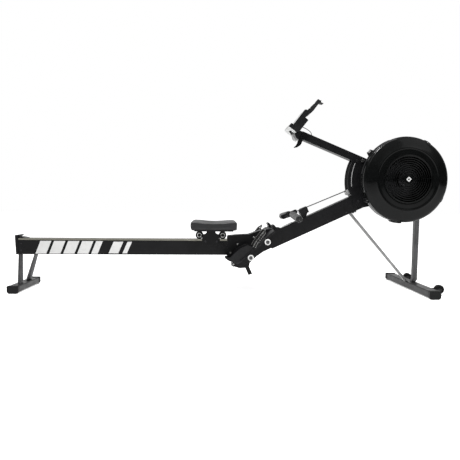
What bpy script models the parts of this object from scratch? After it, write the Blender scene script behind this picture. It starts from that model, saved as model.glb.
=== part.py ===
"""Air rowing machine: rail, sliding seat, footrests, chain drive, fan and monitor arm.

Metres, +Z up. +X runs along the rail towards the fan, Y = 0 is the middle plane,
and the machine stands on Z = 0. Most pieces are drawn in the XZ plane and given a
thickness along Y, so an outline below is a list of (x, z) points.
"""
import bpy
import bmesh
from math import atan2, cos, pi, radians, sin
from mathutils import Matrix, Vector

# ---- driving dimensions -------------------------------------------------------
CLEAR = 0.0003                      # gap between pieces that touch

RAIL_BACK, RAIL_FRONT = -1.204, 0.100
RAIL_HALF = 0.0275
RAIL_BOTTOM, RAIL_SHOULDER, RAIL_TOP = 0.2045, 0.2875, 0.2955
RAIL_WALL = 0.003
TRACK_TOP = 0.2980

REAR_X, REAR_HALF_LENGTH = -1.186, 0.152
FRONT_X, FRONT_HALF_LENGTH = 1.113, 0.2975
BAR_HALF_WIDTH = 0.030
BAR_BOTTOM = 0.006
REAR_BAR_TOP, FRONT_BAR_TOP = 0.0418, 0.0452
CAP_GROW = 0.0024

WHEEL_X, WHEEL_Y, WHEEL_Z, WHEEL_RADIUS = 1.1850, 0.1950, 0.0365, 0.0258
POST_X0, POST_X1, POST_HALF = 1.1220, 1.1490, 0.0130
STRUT_TOP, STRUT_HALF = Vector((0.7420, 0.0, 0.4400)), 0.0080
STRUT_FOOT_X = 1.0860

BEAM_ANGLE = radians(24.8)
BEAM_REF = Vector((0.489, 0.0, 0.3947))    # a point on the beam's centre line
BEAM_DEPTH, BEAM_HALF, BEAM_WALL = 0.0894, 0.0275, 0.0025
BEAM_START, BEAM_END = -0.268, 0.385       # along the centre line, from BEAM_REF

ARM_ANGLE = radians(-22.0)
ARM_REF = Vector((0.6158, 0.0, 0.8315))
ARM_DEPTH, ARM_HALF, ARM_WALL = 0.043, 0.025, 0.0025
ARM_START, ARM_END, ARM_PIVOT = -0.206, 0.208, 0.185

CHEEK_IN, CHEEK_OUT = 0.0280, 0.0320       # frame side plates, half widths

AXLE = Vector((0.987, 0.0, 0.648))         # the fan's axle
FAN_RADIUS = 0.2380
FAN_BACK, FAN_SPLIT, FAN_FRONT = -0.098, -0.1585, -0.1768
SHROUD_RADIUS = 0.2845
AXLE_RADIUS = 0.010
SPROCKET_RADIUS, SPROCKET_TEETH = 0.0285, 14

FAIRLEAD = Vector((0.712, 0.0, 0.591))     # the chain leaves the frame here
CHAIN_ANGLE = radians(202.9)               # from the fairlead towards the handle
HANDLE_REACH = 0.362                       # fairlead to the middle of the handle
GRIP_RADIUS, GRIP_INNER, GRIP_OUTER = 0.0190, 0.050, 0.238
GRIP_BACK, GRIP_DROP = 0.008, 0.024        # where a grip's outer end lies
HANDLE_TURN = 0.040                        # the parked handle sits a little askew

FOOT_ANGLE = radians(41.5)
FOOT_REF = Vector((0.2537, 0.0, 0.3558))   # near the toe end, on the foot plate's face
PLATE_INNER, PLATE_OUTER = 0.052, 0.168
ROD_RADIUS = 0.0125
RODS = {"upper": (0.2190, 0.2961), "lower": (0.1266, 0.2080)}

ROLLER_X, ROLLER_RADIUS = (-0.1640, -0.0274), 0.0222

LOCK_X, LOCK_Z = 0.1110, 0.1500
CASTER_X, CASTER_Z, CASTER_RADIUS = 0.0375, 0.1500, 0.0170

MONITOR_ANGLE = radians(52.3)
MONITOR_REF = Vector((0.3700, 0.0, 0.9580))
MONITOR_HALF = 0.080
TILT_ALONG = -0.226                        # the screen's tilt axis, along the arm
HOLDER_REF = Vector((0.4700, 0.0, 1.0330)) # the device holder's tilt axis
HOLDER_ANGLE = radians(54.0)
CABLE_RADIUS = 0.0020
CABLE_ROUTE = [(0.4354, 0.0, 0.9567), (0.4440, 0.0, 0.9530), (0.4560, 0.0, 0.9475),
               (0.4705, 0.0, 0.9389), (0.4840, 0.0, 0.9275), (0.4900, 0.0, 0.9160),
               (0.4905, 0.0, 0.9074)]

for old in list(bpy.data.objects):
    bpy.data.objects.remove(old, do_unlink=True)


# ---- materials ------------------------------------------------------------------
def make_material(name, colour, roughness, metallic=0.0):
    material = bpy.data.materials.new(name)
    material.use_nodes = True
    shader = material.node_tree.nodes["Principled BSDF"]
    shader.inputs["Base Color"].default_value = (*colour, 1.0)
    shader.inputs["Roughness"].default_value = roughness
    shader.inputs["Metallic"].default_value = metallic
    return material


BLACK_PAINT = ("black_paint", (0.012, 0.012, 0.013), 0.35, 0.2)
GREY_PAINT = ("grey_paint", (0.16, 0.16, 0.17), 0.40, 0.6)
STEEL = ("brushed_steel", (0.45, 0.45, 0.44), 0.30, 1.0)
DARK_STEEL = ("dark_steel", (0.10, 0.10, 0.10), 0.40, 1.0)
BLACK_PLASTIC = ("black_plastic", (0.015, 0.015, 0.016), 0.45, 0.0)
GLOSS_PLASTIC = ("gloss_plastic", (0.010, 0.010, 0.011), 0.12, 0.0)
SILVER_PLASTIC = ("silver_plastic", (0.62, 0.63, 0.62), 0.40, 0.0)
RUBBER = ("rubber", (0.020, 0.020, 0.020), 0.80, 0.0)
GRIP_FOAM = ("grip_foam", (0.060, 0.060, 0.055), 0.90, 0.0)
WEBBING = ("webbing", (0.35, 0.35, 0.34), 0.85, 0.0)
SEAT_FOAM = ("seat_foam", (0.030, 0.030, 0.030), 0.70, 0.0)


# ---- mesh helpers ------------------------------------------------------------------
def place(name, mesh_data, finish, origin=(0.0, 0.0, 0.0)):
    """Turns a bmesh drawn in world space into a named object whose origin is given."""
    origin = Vector(origin)
    bmesh.ops.translate(mesh_data, verts=mesh_data.verts, vec=-origin)
    bmesh.ops.recalc_face_normals(mesh_data, faces=mesh_data.faces)
    mesh = bpy.data.meshes.new(name)
    mesh_data.to_mesh(mesh)
    mesh_data.free()
    mesh.shade_smooth()
    mesh.set_sharp_from_angle(angle=radians(35))
    obj = bpy.data.objects.new(name, mesh)
    obj.location = origin
    obj.data.materials.append(make_material(name + "_" + finish[0], *finish[1:]))
    bpy.context.scene.collection.objects.link(obj)
    return obj


def bridge(bm, ring_a, ring_b):
    """Quads between two closed rings of the same number of vertices."""
    count = len(ring_a)
    for i in range(count):
        j = (i + 1) % count
        bm.faces.new((ring_a[i], ring_a[j], ring_b[j], ring_b[i]))


def add_prism(bm, outline, y0, y1):
    near = [bm.verts.new((x, y0, z)) for x, z in outline]
    far = [bm.verts.new((x, y1, z)) for x, z in outline]
    bm.faces.new(near)
    bm.faces.new(far)
    bridge(bm, near, far)


def prism(name, outline, y0, y1, finish, origin=(0, 0, 0)):
    bm = bmesh.new()
    add_prism(bm, outline, y0, y1)
    return place(name, bm, finish, origin)


def box_outline(x0, x1, z0, z1, chamfer=0.0):
    if not chamfer:
        return [(x0, z0), (x1, z0), (x1, z1), (x0, z1)]
    c = chamfer
    return [(x0 + c, z0), (x1 - c, z0), (x1, z0 + c), (x1, z1 - c),
            (x1 - c, z1), (x0 + c, z1), (x0, z1 - c), (x0, z0 + c)]


def loft(name, rings, finish, origin=(0, 0, 0), closed=False):
    """A body through rings of points; ends are capped, or joined when closed."""
    bm = bmesh.new()
    loops = [[bm.verts.new(p) for p in ring] for ring in rings]
    for a, b in zip(loops, loops[1:]):
        bridge(bm, a, b)
    if closed:
        bridge(bm, loops[-1], loops[0])
    else:
        bm.faces.new(loops[0])
        bm.faces.new(loops[-1])
    return place(name, bm, finish, origin)


def hollow_rings(section, outer, inner):
    """Four rings of a tube: outer start, outer end, inner end, inner start."""
    start, end = section
    return [[start(p) for p in outer], [end(p) for p in outer],
            [end(p) for p in inner], [start(p) for p in inner]]


def along(ref, angle, s, n=0.0, y=0.0):
    """The point s along and n above a slanted line that passes through ref."""
    return Vector((ref.x + s * cos(angle) - n * sin(angle), y,
                   ref.z + s * sin(angle) + n * cos(angle)))


def slanted(ref, angle, points):
    """An XZ outline from points given along and above a slanted line."""
    return [(p.x, p.z) for p in (along(ref, angle, s, n) for s, n in points)]


def slanted_tube(name, ref, angle, s0, s1, depth, half, wall, finish, origin=(0, 0, 0)):
    def ring(s, inset):
        n = depth / 2 - inset
        y = half - inset
        return [along(ref, angle, s, a * n, b * y)
                for a, b in ((-1, -1), (-1, 1), (1, 1), (1, -1))]
    rings = [ring(s0, 0), ring(s1, 0), ring(s1, wall), ring(s0, wall)]
    return loft(name, rings, finish, origin, closed=True)


def turned(name, profile, centre, finish, segments=32, origin=None):
    """Turns a closed profile of (radius, y) round the Y axis through centre."""
    bm = bmesh.new()
    columns = []
    for radius, y in profile:
        if radius < 1e-9:
            columns.append([bm.verts.new((centre[0], y, centre[2]))] * segments)
            continue
        angles = [2 * pi * i / segments for i in range(segments)]
        columns.append([bm.verts.new((centre[0] + radius * cos(a), y,
                                      centre[2] + radius * sin(a))) for a in angles])
    for a, b in zip(columns, columns[1:] + columns[:1]):
        for i in range(segments):
            j = (i + 1) % segments
            corners = list(dict.fromkeys((a[i], a[j], b[j], b[i])))
            if len(corners) > 2:
                bm.faces.new(corners)
    return place(name, bm, finish, centre if origin is None else origin)


def rod(name, radius, y0, y1, x, z, finish, segments=20, origin=None):
    profile = [(0, y0), (radius, y0), (radius, y1), (0, y1)]
    return turned(name, profile, (x, 0.0, z), finish, segments, origin)


def tapered_post(name, low, low_radius, high, high_radius, finish, segments=16):
    def ring(centre, radius):
        return [(centre[0] + radius * cos(2 * pi * i / segments),
                 centre[1] + radius * sin(2 * pi * i / segments), centre[2])
                for i in range(segments)]
    return loft(name, [ring(low, low_radius), ring(high, high_radius)], finish)


def ribbon(name, stations, half_width, half_thick, finish, origin=(0, 0, 0)):
    """A flat band through stations of (centre, width direction, thickness direction)."""
    rings = []
    for centre, across, up in stations:
        a, b = across * half_width, up * half_thick
        rings.append([centre - a - b, centre + a - b, centre + a + b, centre - a + b])
    return loft(name, rings, finish, origin)


def boolean(target, tool, operation):
    """Joins a tool to the target, or cuts it out; the tool itself isn't a piece."""
    modifier = target.modifiers.new(operation.lower(), "BOOLEAN")
    modifier.operation = operation
    modifier.object = tool
    tool.hide_render = True
    tool.display_type = "WIRE"


def cut(target, tool):
    boolean(target, tool, "DIFFERENCE")


def join(target, tool):
    boolean(target, tool, "UNION")


# ---- rail and rear foot -------------------------------------------------------------
def rail_section(x):
    return lambda p: (x, p[0], p[1])


def rail_outline(inset):
    side, neck = RAIL_HALF - inset, RAIL_HALF - 0.002 - inset
    low, shoulder, top = RAIL_BOTTOM + inset, RAIL_SHOULDER - inset, RAIL_TOP - inset
    return [(-side, low), (side, low), (side, shoulder), (neck, shoulder),
            (neck, top), (-neck, top), (-neck, shoulder), (-side, shoulder)]


def build_rail():
    section = (rail_section(RAIL_BACK), rail_section(RAIL_FRONT))
    rings = hollow_rings(section, rail_outline(0), rail_outline(RAIL_WALL))
    loft("rail", rings, BLACK_PAINT, closed=True)

    side, lip = RAIL_HALF, RAIL_HALF - 0.0017
    low, under = RAIL_SHOULDER + CLEAR, RAIL_TOP + CLEAR
    outline = [(-side, low), (-side, TRACK_TOP), (side, TRACK_TOP), (side, low),
               (lip, low), (lip, under), (-lip, under), (-lip, low)]
    rings = [[(x, y, z) for y, z in outline] for x in (RAIL_BACK + 0.001, RAIL_FRONT)]
    loft("stainless_track", rings, STEEL)

    inner = RAIL_BACK - CLEAR
    stop = [(inner - 0.0132, RAIL_BOTTOM), (inner, RAIL_BOTTOM), (inner, 0.3060),
            (-1.197, 0.3110), (-1.196, 0.3185), (inner - 0.0172, 0.3150)]
    prism("rail_end_stop", stop, -0.030, 0.030, BLACK_PAINT)


def crossbar(name, x, half_length, top, finish):
    outline = box_outline(x - BAR_HALF_WIDTH, x + BAR_HALF_WIDTH, BAR_BOTTOM, top, 0.004)
    hollow = box_outline(x - BAR_HALF_WIDTH + 0.0025, x + BAR_HALF_WIDTH - 0.0025,
                         BAR_BOTTOM + 0.0025, top - 0.0025, 0.003)
    def at(y):
        return lambda p: (p[0], y, p[1])
    rings = hollow_rings((at(-half_length), at(half_length)), outline, hollow)
    return loft(name, rings, finish, closed=True)


def foot_cap(name, x, side, inner, outer, top):
    """An end cap that stands on the floor, bevelled at its lower edges."""
    x0, x1 = x - BAR_HALF_WIDTH - CAP_GROW, x + BAR_HALF_WIDTH + CAP_GROW
    z1 = top + CAP_GROW
    outline = [(x0 + 0.012, 0.0), (x1 - 0.012, 0.0), (x1, 0.010), (x1, z1 - 0.004),
               (x1 - 0.004, z1), (x0 + 0.004, z1), (x0, z1 - 0.004), (x0, 0.010)]
    y0, y1 = sorted((side * (inner + CLEAR), side * outer))
    prism(name, outline, y0, y1, BLACK_PLASTIC)


def build_rear_foot():
    bar_end = REAR_HALF_LENGTH - 0.022
    crossbar("rear_crossbar", REAR_X, bar_end, REAR_BAR_TOP, GREY_PAINT)
    for side, word in ((-1, "near"), (1, "far")):
        foot_cap(f"rear_foot_{word}", REAR_X, side, bar_end, REAR_HALF_LENGTH, REAR_BAR_TOP)
    low, high = REAR_BAR_TOP + CLEAR, RAIL_BOTTOM - CLEAR
    tapered_post("rear_leg_near", (-1.1845, -0.055, low), 0.0150,
                 (-1.1965, -0.0150, high), 0.0120, GREY_PAINT)
    tapered_post("rear_leg_far", (-1.1830, 0.050, low), 0.0160,
                 (-1.1192, 0.0150, high), 0.0112, GREY_PAINT)


# ---- front foot, post and strut ---------------------------------------------------------
def build_front_foot():
    bar_end = FRONT_HALF_LENGTH - 0.025
    bar = crossbar("front_crossbar", FRONT_X, bar_end, FRONT_BAR_TOP, GREY_PAINT)
    for side, word in ((-1, "near"), (1, "far")):
        foot_cap(f"front_foot_{word}", FRONT_X, side, bar_end, FRONT_HALF_LENGTH,
                 FRONT_BAR_TOP)
        y = side * WHEEL_Y
        for ear in (-1, 1):
            middle = y + ear * 0.0165
            outline = [(FRONT_X + BAR_HALF_WIDTH - 0.0012, 0.018),
                       (WHEEL_X + 0.004, WHEEL_Z - 0.009), (WHEEL_X + 0.009, WHEEL_Z),
                       (WHEEL_X + 0.004, WHEEL_Z + 0.007),
                       (FRONT_X + BAR_HALF_WIDTH - 0.0012, 0.0405)]
            join(bar, prism(f"ear_{word}_{ear}", outline, middle - 0.002, middle + 0.002,
                            GREY_PAINT))
        join(bar, rod(f"wheel_pin_{word}", 0.0040, y - 0.0175, y + 0.0175,
                      WHEEL_X, WHEEL_Z, STEEL, 12))
        bore, hub, tyre = 0.0045, 0.0130, WHEEL_RADIUS
        profile = [(bore, y - 0.0135), (hub, y - 0.0135), (hub, y - 0.0115),
                   (tyre - 0.004, y - 0.0125), (tyre, y - 0.0095), (tyre, y + 0.0095),
                   (tyre - 0.004, y + 0.0125), (hub, y + 0.0115), (hub, y + 0.0135),
                   (bore, y + 0.0135)]
        turned(f"transport_wheel_{word}", profile, (WHEEL_X, y, WHEEL_Z), RUBBER, 22)

    x0, x1 = POST_X0, POST_X1
    outline = [(x0 - 0.008, FRONT_BAR_TOP + CLEAR), (x1 - 0.008, FRONT_BAR_TOP + CLEAR),
               (x1, 0.058), (x1, 0.560), (x0, 0.560), (x0, 0.062)]
    post = prism("front_post", outline, -POST_HALF, POST_HALF, GREY_PAINT)
    for z in (0.475, 0.540):
        join(post, rod(f"post_spacer_{z}", 0.0075, CLEAR - CHEEK_IN, CHEEK_IN - CLEAR,
                       (x0 + x1) / 2, z, GREY_PAINT, 14))


def build_strut():
    """A square bar from a lug under the beam down to the front crossbar."""
    foot = Vector((STRUT_FOOT_X, 0.0, FRONT_BAR_TOP + CLEAR))
    slope = (foot - STRUT_TOP).normalized()
    across = Vector((-slope.z, 0.0, slope.x)) * STRUT_HALF
    reach = STRUT_HALF / abs(slope.z)
    normal = Vector((-sin(BEAM_ANGLE), 0.0, cos(BEAM_ANGLE)))
    beneath = along(BEAM_REF, BEAM_ANGLE, 0.26, -BEAM_DEPTH / 2 - CLEAR)

    def under_beam(p):
        """Follows the bar upwards from p until it meets the beam's underside."""
        return p + slope * ((beneath - p).dot(normal) / slope.dot(normal))

    start, end = under_beam(STRUT_TOP - across), under_beam(STRUT_TOP + across)
    outline = [(start.x, start.z), (end.x, end.z),
               (foot.x + reach, foot.z), (foot.x - reach, foot.z)]
    prism("front_strut", outline, -STRUT_HALF, STRUT_HALF, GREY_PAINT)


# ---- frame: beam, junction and head ----------------------------------------------------
def build_beam():
    slanted_tube("main_beam", BEAM_REF, BEAM_ANGLE, BEAM_START, BEAM_END,
                 BEAM_DEPTH, BEAM_HALF, BEAM_WALL, BLACK_PAINT)


def build_junction():
    """The folded plate that joins the rail to the beam and carries the foot rods."""
    top = [(-0.001, 0.3140), (0.006, 0.3185), (0.080, 0.3260), (0.125, 0.3275),
           (0.182, 0.3475), (0.222, 0.3560), (0.305, 0.3690)]
    lower = [(0.330, 0.3100), (0.2763, 0.2565), (0.2093, 0.2233), (0.1745, 0.1985),
             (0.1340, 0.1600), (0.1300, 0.1400), (0.1120, 0.1290), (0.0720, 0.1270),
             (0.0420, 0.1360), (0.0300, 0.1440), (0.0300, 0.1600), (0.0420, 0.1990),
             (-0.001, 0.1990)]
    housing = prism("junction_housing", top + lower, -CHEEK_OUT, CHEEK_OUT, BLACK_PAINT)
    under = [(x, z - 0.004) for x, z in top]
    inside = [(-0.05, under[0][1])] + under + [(0.40, under[-1][1]), (0.40, 0.05), (-0.05, 0.05)]
    cut(housing, prism("junction_inside", inside, -CHEEK_IN, CHEEK_IN, BLACK_PAINT))
    for word, (x, z) in RODS.items():
        cut(housing, rod(f"rod_hole_{word}", ROD_RADIUS + CLEAR, -0.05, 0.05, x, z, STEEL, 20))
        flange, head = 0.0185, 0.0085
        end, plate, bolt = 0.1715, 0.1765, 0.1805
        profile = [(0, -bolt), (head, -bolt), (head, -plate), (flange, -plate),
                   (flange, -end), (ROD_RADIUS, -end), (ROD_RADIUS, end), (flange, end),
                   (flange, plate), (head, plate), (head, bolt), (0, bolt)]
        turned(f"foot_rod_{word}", profile, (x, 0.0, z), STEEL, 16)
    cut(housing, rod("lock_hole", 0.0053, -0.05, 0.05, LOCK_X, LOCK_Z, STEEL, 14))
    cut(housing, rod("caster_hole", 0.0043, -0.05, 0.05, CASTER_X, CASTER_Z, STEEL, 14))


def build_lock_and_caster():
    pivot = Vector((LOCK_X, 0.0, LOCK_Z))
    angle = atan2(0.0844 - LOCK_Z, 0.1400 - LOCK_X)
    blade = slanted(pivot, angle, [(-0.011, -0.008), (-0.011, 0.008), (0.0, 0.0125),
                                   (0.0690, 0.0125), (0.0720, 0.0095), (0.0690, -0.0125),
                                   (0.0, -0.0125)])
    lever = prism("frame_lock_lever", blade, -0.010, 0.010, BLACK_PAINT, pivot)
    join(lever, rod("lock_pin", 0.0050, -0.0335, 0.0335, LOCK_X, LOCK_Z, STEEL, 14))

    r = CASTER_RADIUS
    profile = [(0, -0.0335), (0.004, -0.0335), (0.004, -0.0265), (r - 0.002, -0.0265),
               (r, -0.0245), (r, 0.0245), (r - 0.002, 0.0265), (0.004, 0.0265),
               (0.004, 0.0335), (0, 0.0335)]
    turned("frame_caster", profile, (CASTER_X, 0.0, CASTER_Z), SILVER_PLASTIC, 20)


def arc_point(radius, degrees):
    a = radians(degrees)
    return (AXLE.x + radius * cos(a), AXLE.z + radius * sin(a))


def build_head():
    """Two side plates that hold the beam, the arm, the post and the fan's axle."""
    shroud_side = [arc_point(SHROUD_RADIUS, d) for d in range(155, 192, 6)]
    outline = shroud_side + [(0.735, 0.5450), (0.735, 0.5000), (0.800, 0.4900),
            (0.900, 0.5100), (1.020, 0.5000), (1.106, 0.4300), (1.154, 0.4300), (1.154, 0.5750),
            (1.075, 0.6850), (1.030, 0.6950), (0.940, 0.7190), (0.850, 0.7560),
            (0.805, 0.7740), (0.760, 0.7925)]
    for side, word in ((-1, "near"), (1, "far")):
        y0, y1 = sorted((side * CHEEK_IN, side * CHEEK_OUT))
        plate = prism(f"head_plate_{word}", outline, y0, y1, BLACK_PAINT)
        cut(plate, rod(f"bearing_hole_{word}", 0.0225, -0.05, 0.05, AXLE.x, AXLE.z, STEEL, 24))
        pin = along(ARM_REF, ARM_ANGLE, ARM_PIVOT)
        cut(plate, rod(f"arm_hole_{word}", 0.0063, -0.05, 0.05, pin.x, pin.z, STEEL, 16))
        inner, outer = AXLE_RADIUS + CLEAR, 0.0222
        ya, yb = sorted((side * 0.0265, side * 0.0345))
        profile = [(inner, ya), (outer, ya), (outer, yb), (inner, yb)]
        turned(f"bearing_{word}", profile, AXLE, STEEL, 24)

    outer = [arc_point(SHROUD_RADIUS - 0.0005, d) for d in range(157, 191, 3)]
    inner = [arc_point(SHROUD_RADIUS - 0.0035, d) for d in range(190, 156, -3)]
    prism("drive_shroud", outer + inner, -CHEEK_IN + CLEAR, CHEEK_IN - CLEAR, BLACK_PLASTIC)


# ---- fan ------------------------------------------------------------------------------
def build_fan_covers():
    rim = FAN_RADIUS
    near = [(rim, FAN_SPLIT - 0.0010), (rim, -0.1630), (rim - 0.0040, -0.1700),
            (rim - 0.0140, FAN_FRONT), (0.184, -0.1920), (0.170, -0.1975),
            (0.164, -0.1950), (0.1325, -0.1978), (0.1325, -0.1948), (0.1660, -0.1918),
            (0.183, -0.1890), (rim - 0.0155, -0.1738), (rim - 0.0065, -0.1675),
            (rim - 0.0030, -0.1620), (rim - 0.0030, FAN_SPLIT - 0.0010)]
    turned("fan_cover_near", near, AXLE, GLOSS_PLASTIC, 40)

    wall = rim - 0.0022
    back = [(wall, FAN_SPLIT), (wall, -0.1060), (wall - 0.006, FAN_BACK),
            (0.206, -0.0760), (0.150, -0.0520), (0.060, -0.0440), (0.060, -0.0470),
            (0.149, -0.0550), (0.204, -0.0787), (wall - 0.0085, -0.1005),
            (wall - 0.0030, -0.1070), (wall - 0.0030, FAN_SPLIT)]
    cover = turned("fan_cover_back", back, AXLE, GLOSS_PLASTIC, 40)
    for degrees, spread in ((60, 6.0), (209, 3.5), (260, 8.0), (333, 4.5)):
        block = [arc_point(r, degrees + t * spread) for r, t in
                 ((wall - 0.0022, -1.0), (rim + 0.0075, -0.8), (rim + 0.0085, 0.0),
                  (rim + 0.0075, 0.8), (wall - 0.0022, 1.0), (wall - 0.0015, 0.5),
                  (wall - 0.0015, 0.0), (wall - 0.0015, -0.5))]
        join(cover, prism(f"lug_{degrees}", block, -0.1520, -0.1180, BLACK_PLASTIC))
    for degrees in (135, 225, 315):
        x, z = arc_point(0.085, degrees)
        join(cover, rod(f"boss_{degrees}", 0.008, -0.0480, -CHEEK_OUT - CLEAR, x, z,
                        BLACK_PLASTIC, 14))


def polar_plate(name, radii, solid, y0, y1, sectors, finish):
    """A flat disc cut into a polar grid; solid(band, sector) says which cells stay."""
    bm = bmesh.new()
    rings = {}
    for y in (y0, y1):
        for k, radius in enumerate(radii):
            rings[y, k] = [bm.verts.new((AXLE.x + radius * cos(2 * pi * i / sectors), y,
                                         AXLE.z + radius * sin(2 * pi * i / sectors)))
                           for i in range(sectors)]
    bands = len(radii) - 1
    def filled(k, i):
        return 0 <= k < bands and solid(k, i % sectors)
    for k in range(bands):
        for i in range(sectors):
            if not filled(k, i):
                continue
            j = (i + 1) % sectors
            for y in (y0, y1):
                bm.faces.new((rings[y, k][i], rings[y, k][j],
                              rings[y, k + 1][j], rings[y, k + 1][i]))
            walls = ((filled(k - 1, i), k, i, k, j), (filled(k + 1, i), k + 1, i, k + 1, j),
                     (filled(k, i - 1), k, i, k + 1, i), (filled(k, i + 1), k, j, k + 1, j))
            for covered, ka, ia, kb, ib in walls:
                if not covered:
                    bm.faces.new((rings[y0, ka][ia], rings[y0, kb][ib],
                                  rings[y1, kb][ib], rings[y1, ka][ia]))
    for vert in [v for v in bm.verts if not v.link_faces]:
        bm.verts.remove(vert)
    return place(name, bm, finish, AXLE)


def build_grille():
    """Concentric rings held by six spokes, round a solid hub."""
    ring_count, hub, outer = 5, 0.028, 0.1320
    pitch = (outer - hub) / ring_count
    radii = [0.004, hub]
    for n in range(ring_count):
        radii += [hub + pitch * n + pitch * 0.55, hub + pitch * (n + 1)]
    def solid(band, sector):
        return band % 2 == 0 or sector % 5 == 0
    polar_plate("fan_grille", radii, solid, -0.2030, -0.1990, 30, GLOSS_PLASTIC)


def build_flywheel():
    """A steel disc with radial vanes on its front face, on its own axle."""
    sectors, vane_step = 36, 3
    radii = [AXLE_RADIUS + CLEAR, 0.034, 0.095, 0.186, 0.200]
    bm = bmesh.new()
    def ring(y, radius):
        return [bm.verts.new((AXLE.x + radius * cos(2 * pi * i / sectors), y,
                              AXLE.z + radius * sin(2 * pi * i / sectors)))
                for i in range(sectors)]
    back, floor, front = -0.0900, -0.0960, -0.1500
    low = [ring(back, r) for r in radii]
    mid = [ring(floor, r) for r in radii]
    top = [ring(front, r) for r in radii]
    def raised(k, i):
        return k == 0 or (k == 2 and (i % sectors) % vane_step == 0)
    for k in range(4):
        for i in range(sectors):
            j = (i + 1) % sectors
            bm.faces.new((low[k][i], low[k][j], low[k + 1][j], low[k + 1][i]))
            level = top if raised(k, i) else mid
            bm.faces.new((level[k][i], level[k][j], level[k + 1][j], level[k + 1][i]))
            if not raised(k, i):
                continue
            if k == 0 or not raised(k - 1, i):
                if k > 0:
                    bm.faces.new((mid[k][i], mid[k][j], top[k][j], top[k][i]))
            if k == 0 or not raised(k + 1, i):
                bm.faces.new((mid[k + 1][i], mid[k + 1][j], top[k + 1][j], top[k + 1][i]))
            if k == 2:
                for n in (i, j):
                    bm.faces.new((mid[k][n], mid[k + 1][n], top[k + 1][n], top[k][n]))
    for i in range(sectors):
        j = (i + 1) % sectors
        bm.faces.new((low[0][i], low[0][j], top[0][j], top[0][i]))
        bm.faces.new((low[4][i], low[4][j], mid[4][j], mid[4][i]))
    for vert in [v for v in bm.verts if not v.link_faces]:
        bm.verts.remove(vert)
    place("flywheel", bm, DARK_STEEL, AXLE)
    rod("flywheel_axle", AXLE_RADIUS, -0.1800, 0.0480, AXLE.x, AXLE.z, STEEL, 20)


def build_sprocket():
    bm = bmesh.new()
    count = SPROCKET_TEETH * 4
    def radius(i):
        return SPROCKET_RADIUS + (0.0022, 0.0022, -0.0022, -0.0022)[i % 4]
    rings = []
    for y in (-0.0035, 0.0035):
        for inner in (False, True):
            r = [AXLE_RADIUS + CLEAR if inner else radius(i) for i in range(count)]
            rings.append([bm.verts.new((AXLE.x + r[i] * cos(2 * pi * i / count), y,
                                        AXLE.z + r[i] * sin(2 * pi * i / count)))
                          for i in range(count)])
    outer0, inner0, outer1, inner1 = rings
    for a, b in ((outer0, inner0), (inner0, inner1), (inner1, outer1), (outer1, outer0)):
        bridge(bm, a, b)
    place("chain_sprocket", bm, STEEL, AXLE)


def build_damper():
    """A slide that hugs the drum, with a thumb tab for setting the air flow."""
    low, high = FAN_RADIUS - 0.0018, FAN_RADIUS + 0.0010
    steps = list(range(112, 172, 5)) + [172]
    outline = [arc_point(high, d) for d in steps] + [arc_point(low, d) for d in reversed(steps)]
    slide = prism("damper_lever", outline, -0.1380, -0.1200, BLACK_PLASTIC, AXLE)
    tab = [arc_point(r, d) for r, d in ((low + 0.0005, 137.0), (FAN_RADIUS + 0.0200, 139.5),
                                        (FAN_RADIUS + 0.0200, 144.5), (low + 0.0005, 147.0))]
    join(slide, prism("damper_tab", tab, -0.1360, -0.1220, BLACK_PLASTIC))


# ---- seat -----------------------------------------------------------------------------
def build_seat():
    profile = [(-0.196, 0.3585), (-0.2045, 0.3640), (-0.2030, 0.3940), (-0.1910, 0.4045),
               (-0.130, 0.3995), (-0.076, 0.3975), (-0.003, 0.4020), (0.032, 0.4005),
               (0.0455, 0.3930), (0.0470, 0.3640), (0.040, 0.3585)]
    middle = Vector((-0.078, 0.0, 0.380))
    rings = []
    for y, shrink in ((-0.150, 0.94), (-0.138, 1.0), (0.138, 1.0), (0.150, 0.94)):
        rings.append([(middle.x + (x - middle.x) * shrink, y,
                       middle.z + (z - middle.z) * shrink) for x, z in profile])
    loft("seat_cushion", rings, SEAT_FOAM)

    top, under = 0.3580, 0.3480
    carriage = prism("seat_carriage", box_outline(-0.190, 0.032, under, top), -0.110, 0.110,
                     BLACK_PAINT)
    side_plate = [(-0.121, under + 0.001), (-0.121, 0.3340), (-0.131, 0.3235),
                  (-0.147, 0.3210), (-0.148, 0.2620), (-0.043, 0.2620), (-0.044, 0.3210),
                  (-0.060, 0.3235), (-0.070, 0.3340), (-0.070, under + 0.001)]
    for side in (-1, 1):
        y0, y1 = sorted((side * 0.0292, side * 0.0322))
        join(carriage, prism(f"seat_side_{side}", side_plate, y0, y1, BLACK_PAINT))
    for k, x in enumerate(ROLLER_X):
        z = TRACK_TOP + CLEAR + ROLLER_RADIUS
        ear = [(x - 0.011, under + 0.001), (x - 0.009, z - 0.007), (x + 0.009, z - 0.007),
               (x + 0.011, under + 0.001)]
        join(carriage, prism(f"axle_ear_{k}", ear, -0.0045, 0.0045, BLACK_PAINT))
        join(carriage, rod(f"axle_pin_{k}", 0.0040, -0.0268, 0.0268, x, z, STEEL, 12))
        for side, word in ((-1, "near"), (1, "far")):
            a, b = side * 0.0060, side * 0.0262
            y0, y1 = min(a, b), max(a, b)
            r = ROLLER_RADIUS
            profile = [(0.0044, y0), (0.0125, y0), (0.0135, y0 + 0.0018), (r - 0.002, y0 + 0.0008),
                       (r, y0 + 0.0030), (r, y1 - 0.0030), (r - 0.002, y1 - 0.0008),
                       (0.0135, y1 - 0.0018), (0.0125, y1), (0.0044, y1)]
            end = ("rear", "front")[k]
            turned(f"seat_roller_{end}_{word}", profile, (x, 0.0, z), RUBBER, 20)


# ---- footrests ---------------------------------------------------------------------------
def foot_point(t, n, y):
    return along(FOOT_REF, FOOT_ANGLE, t, n, y)


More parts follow.
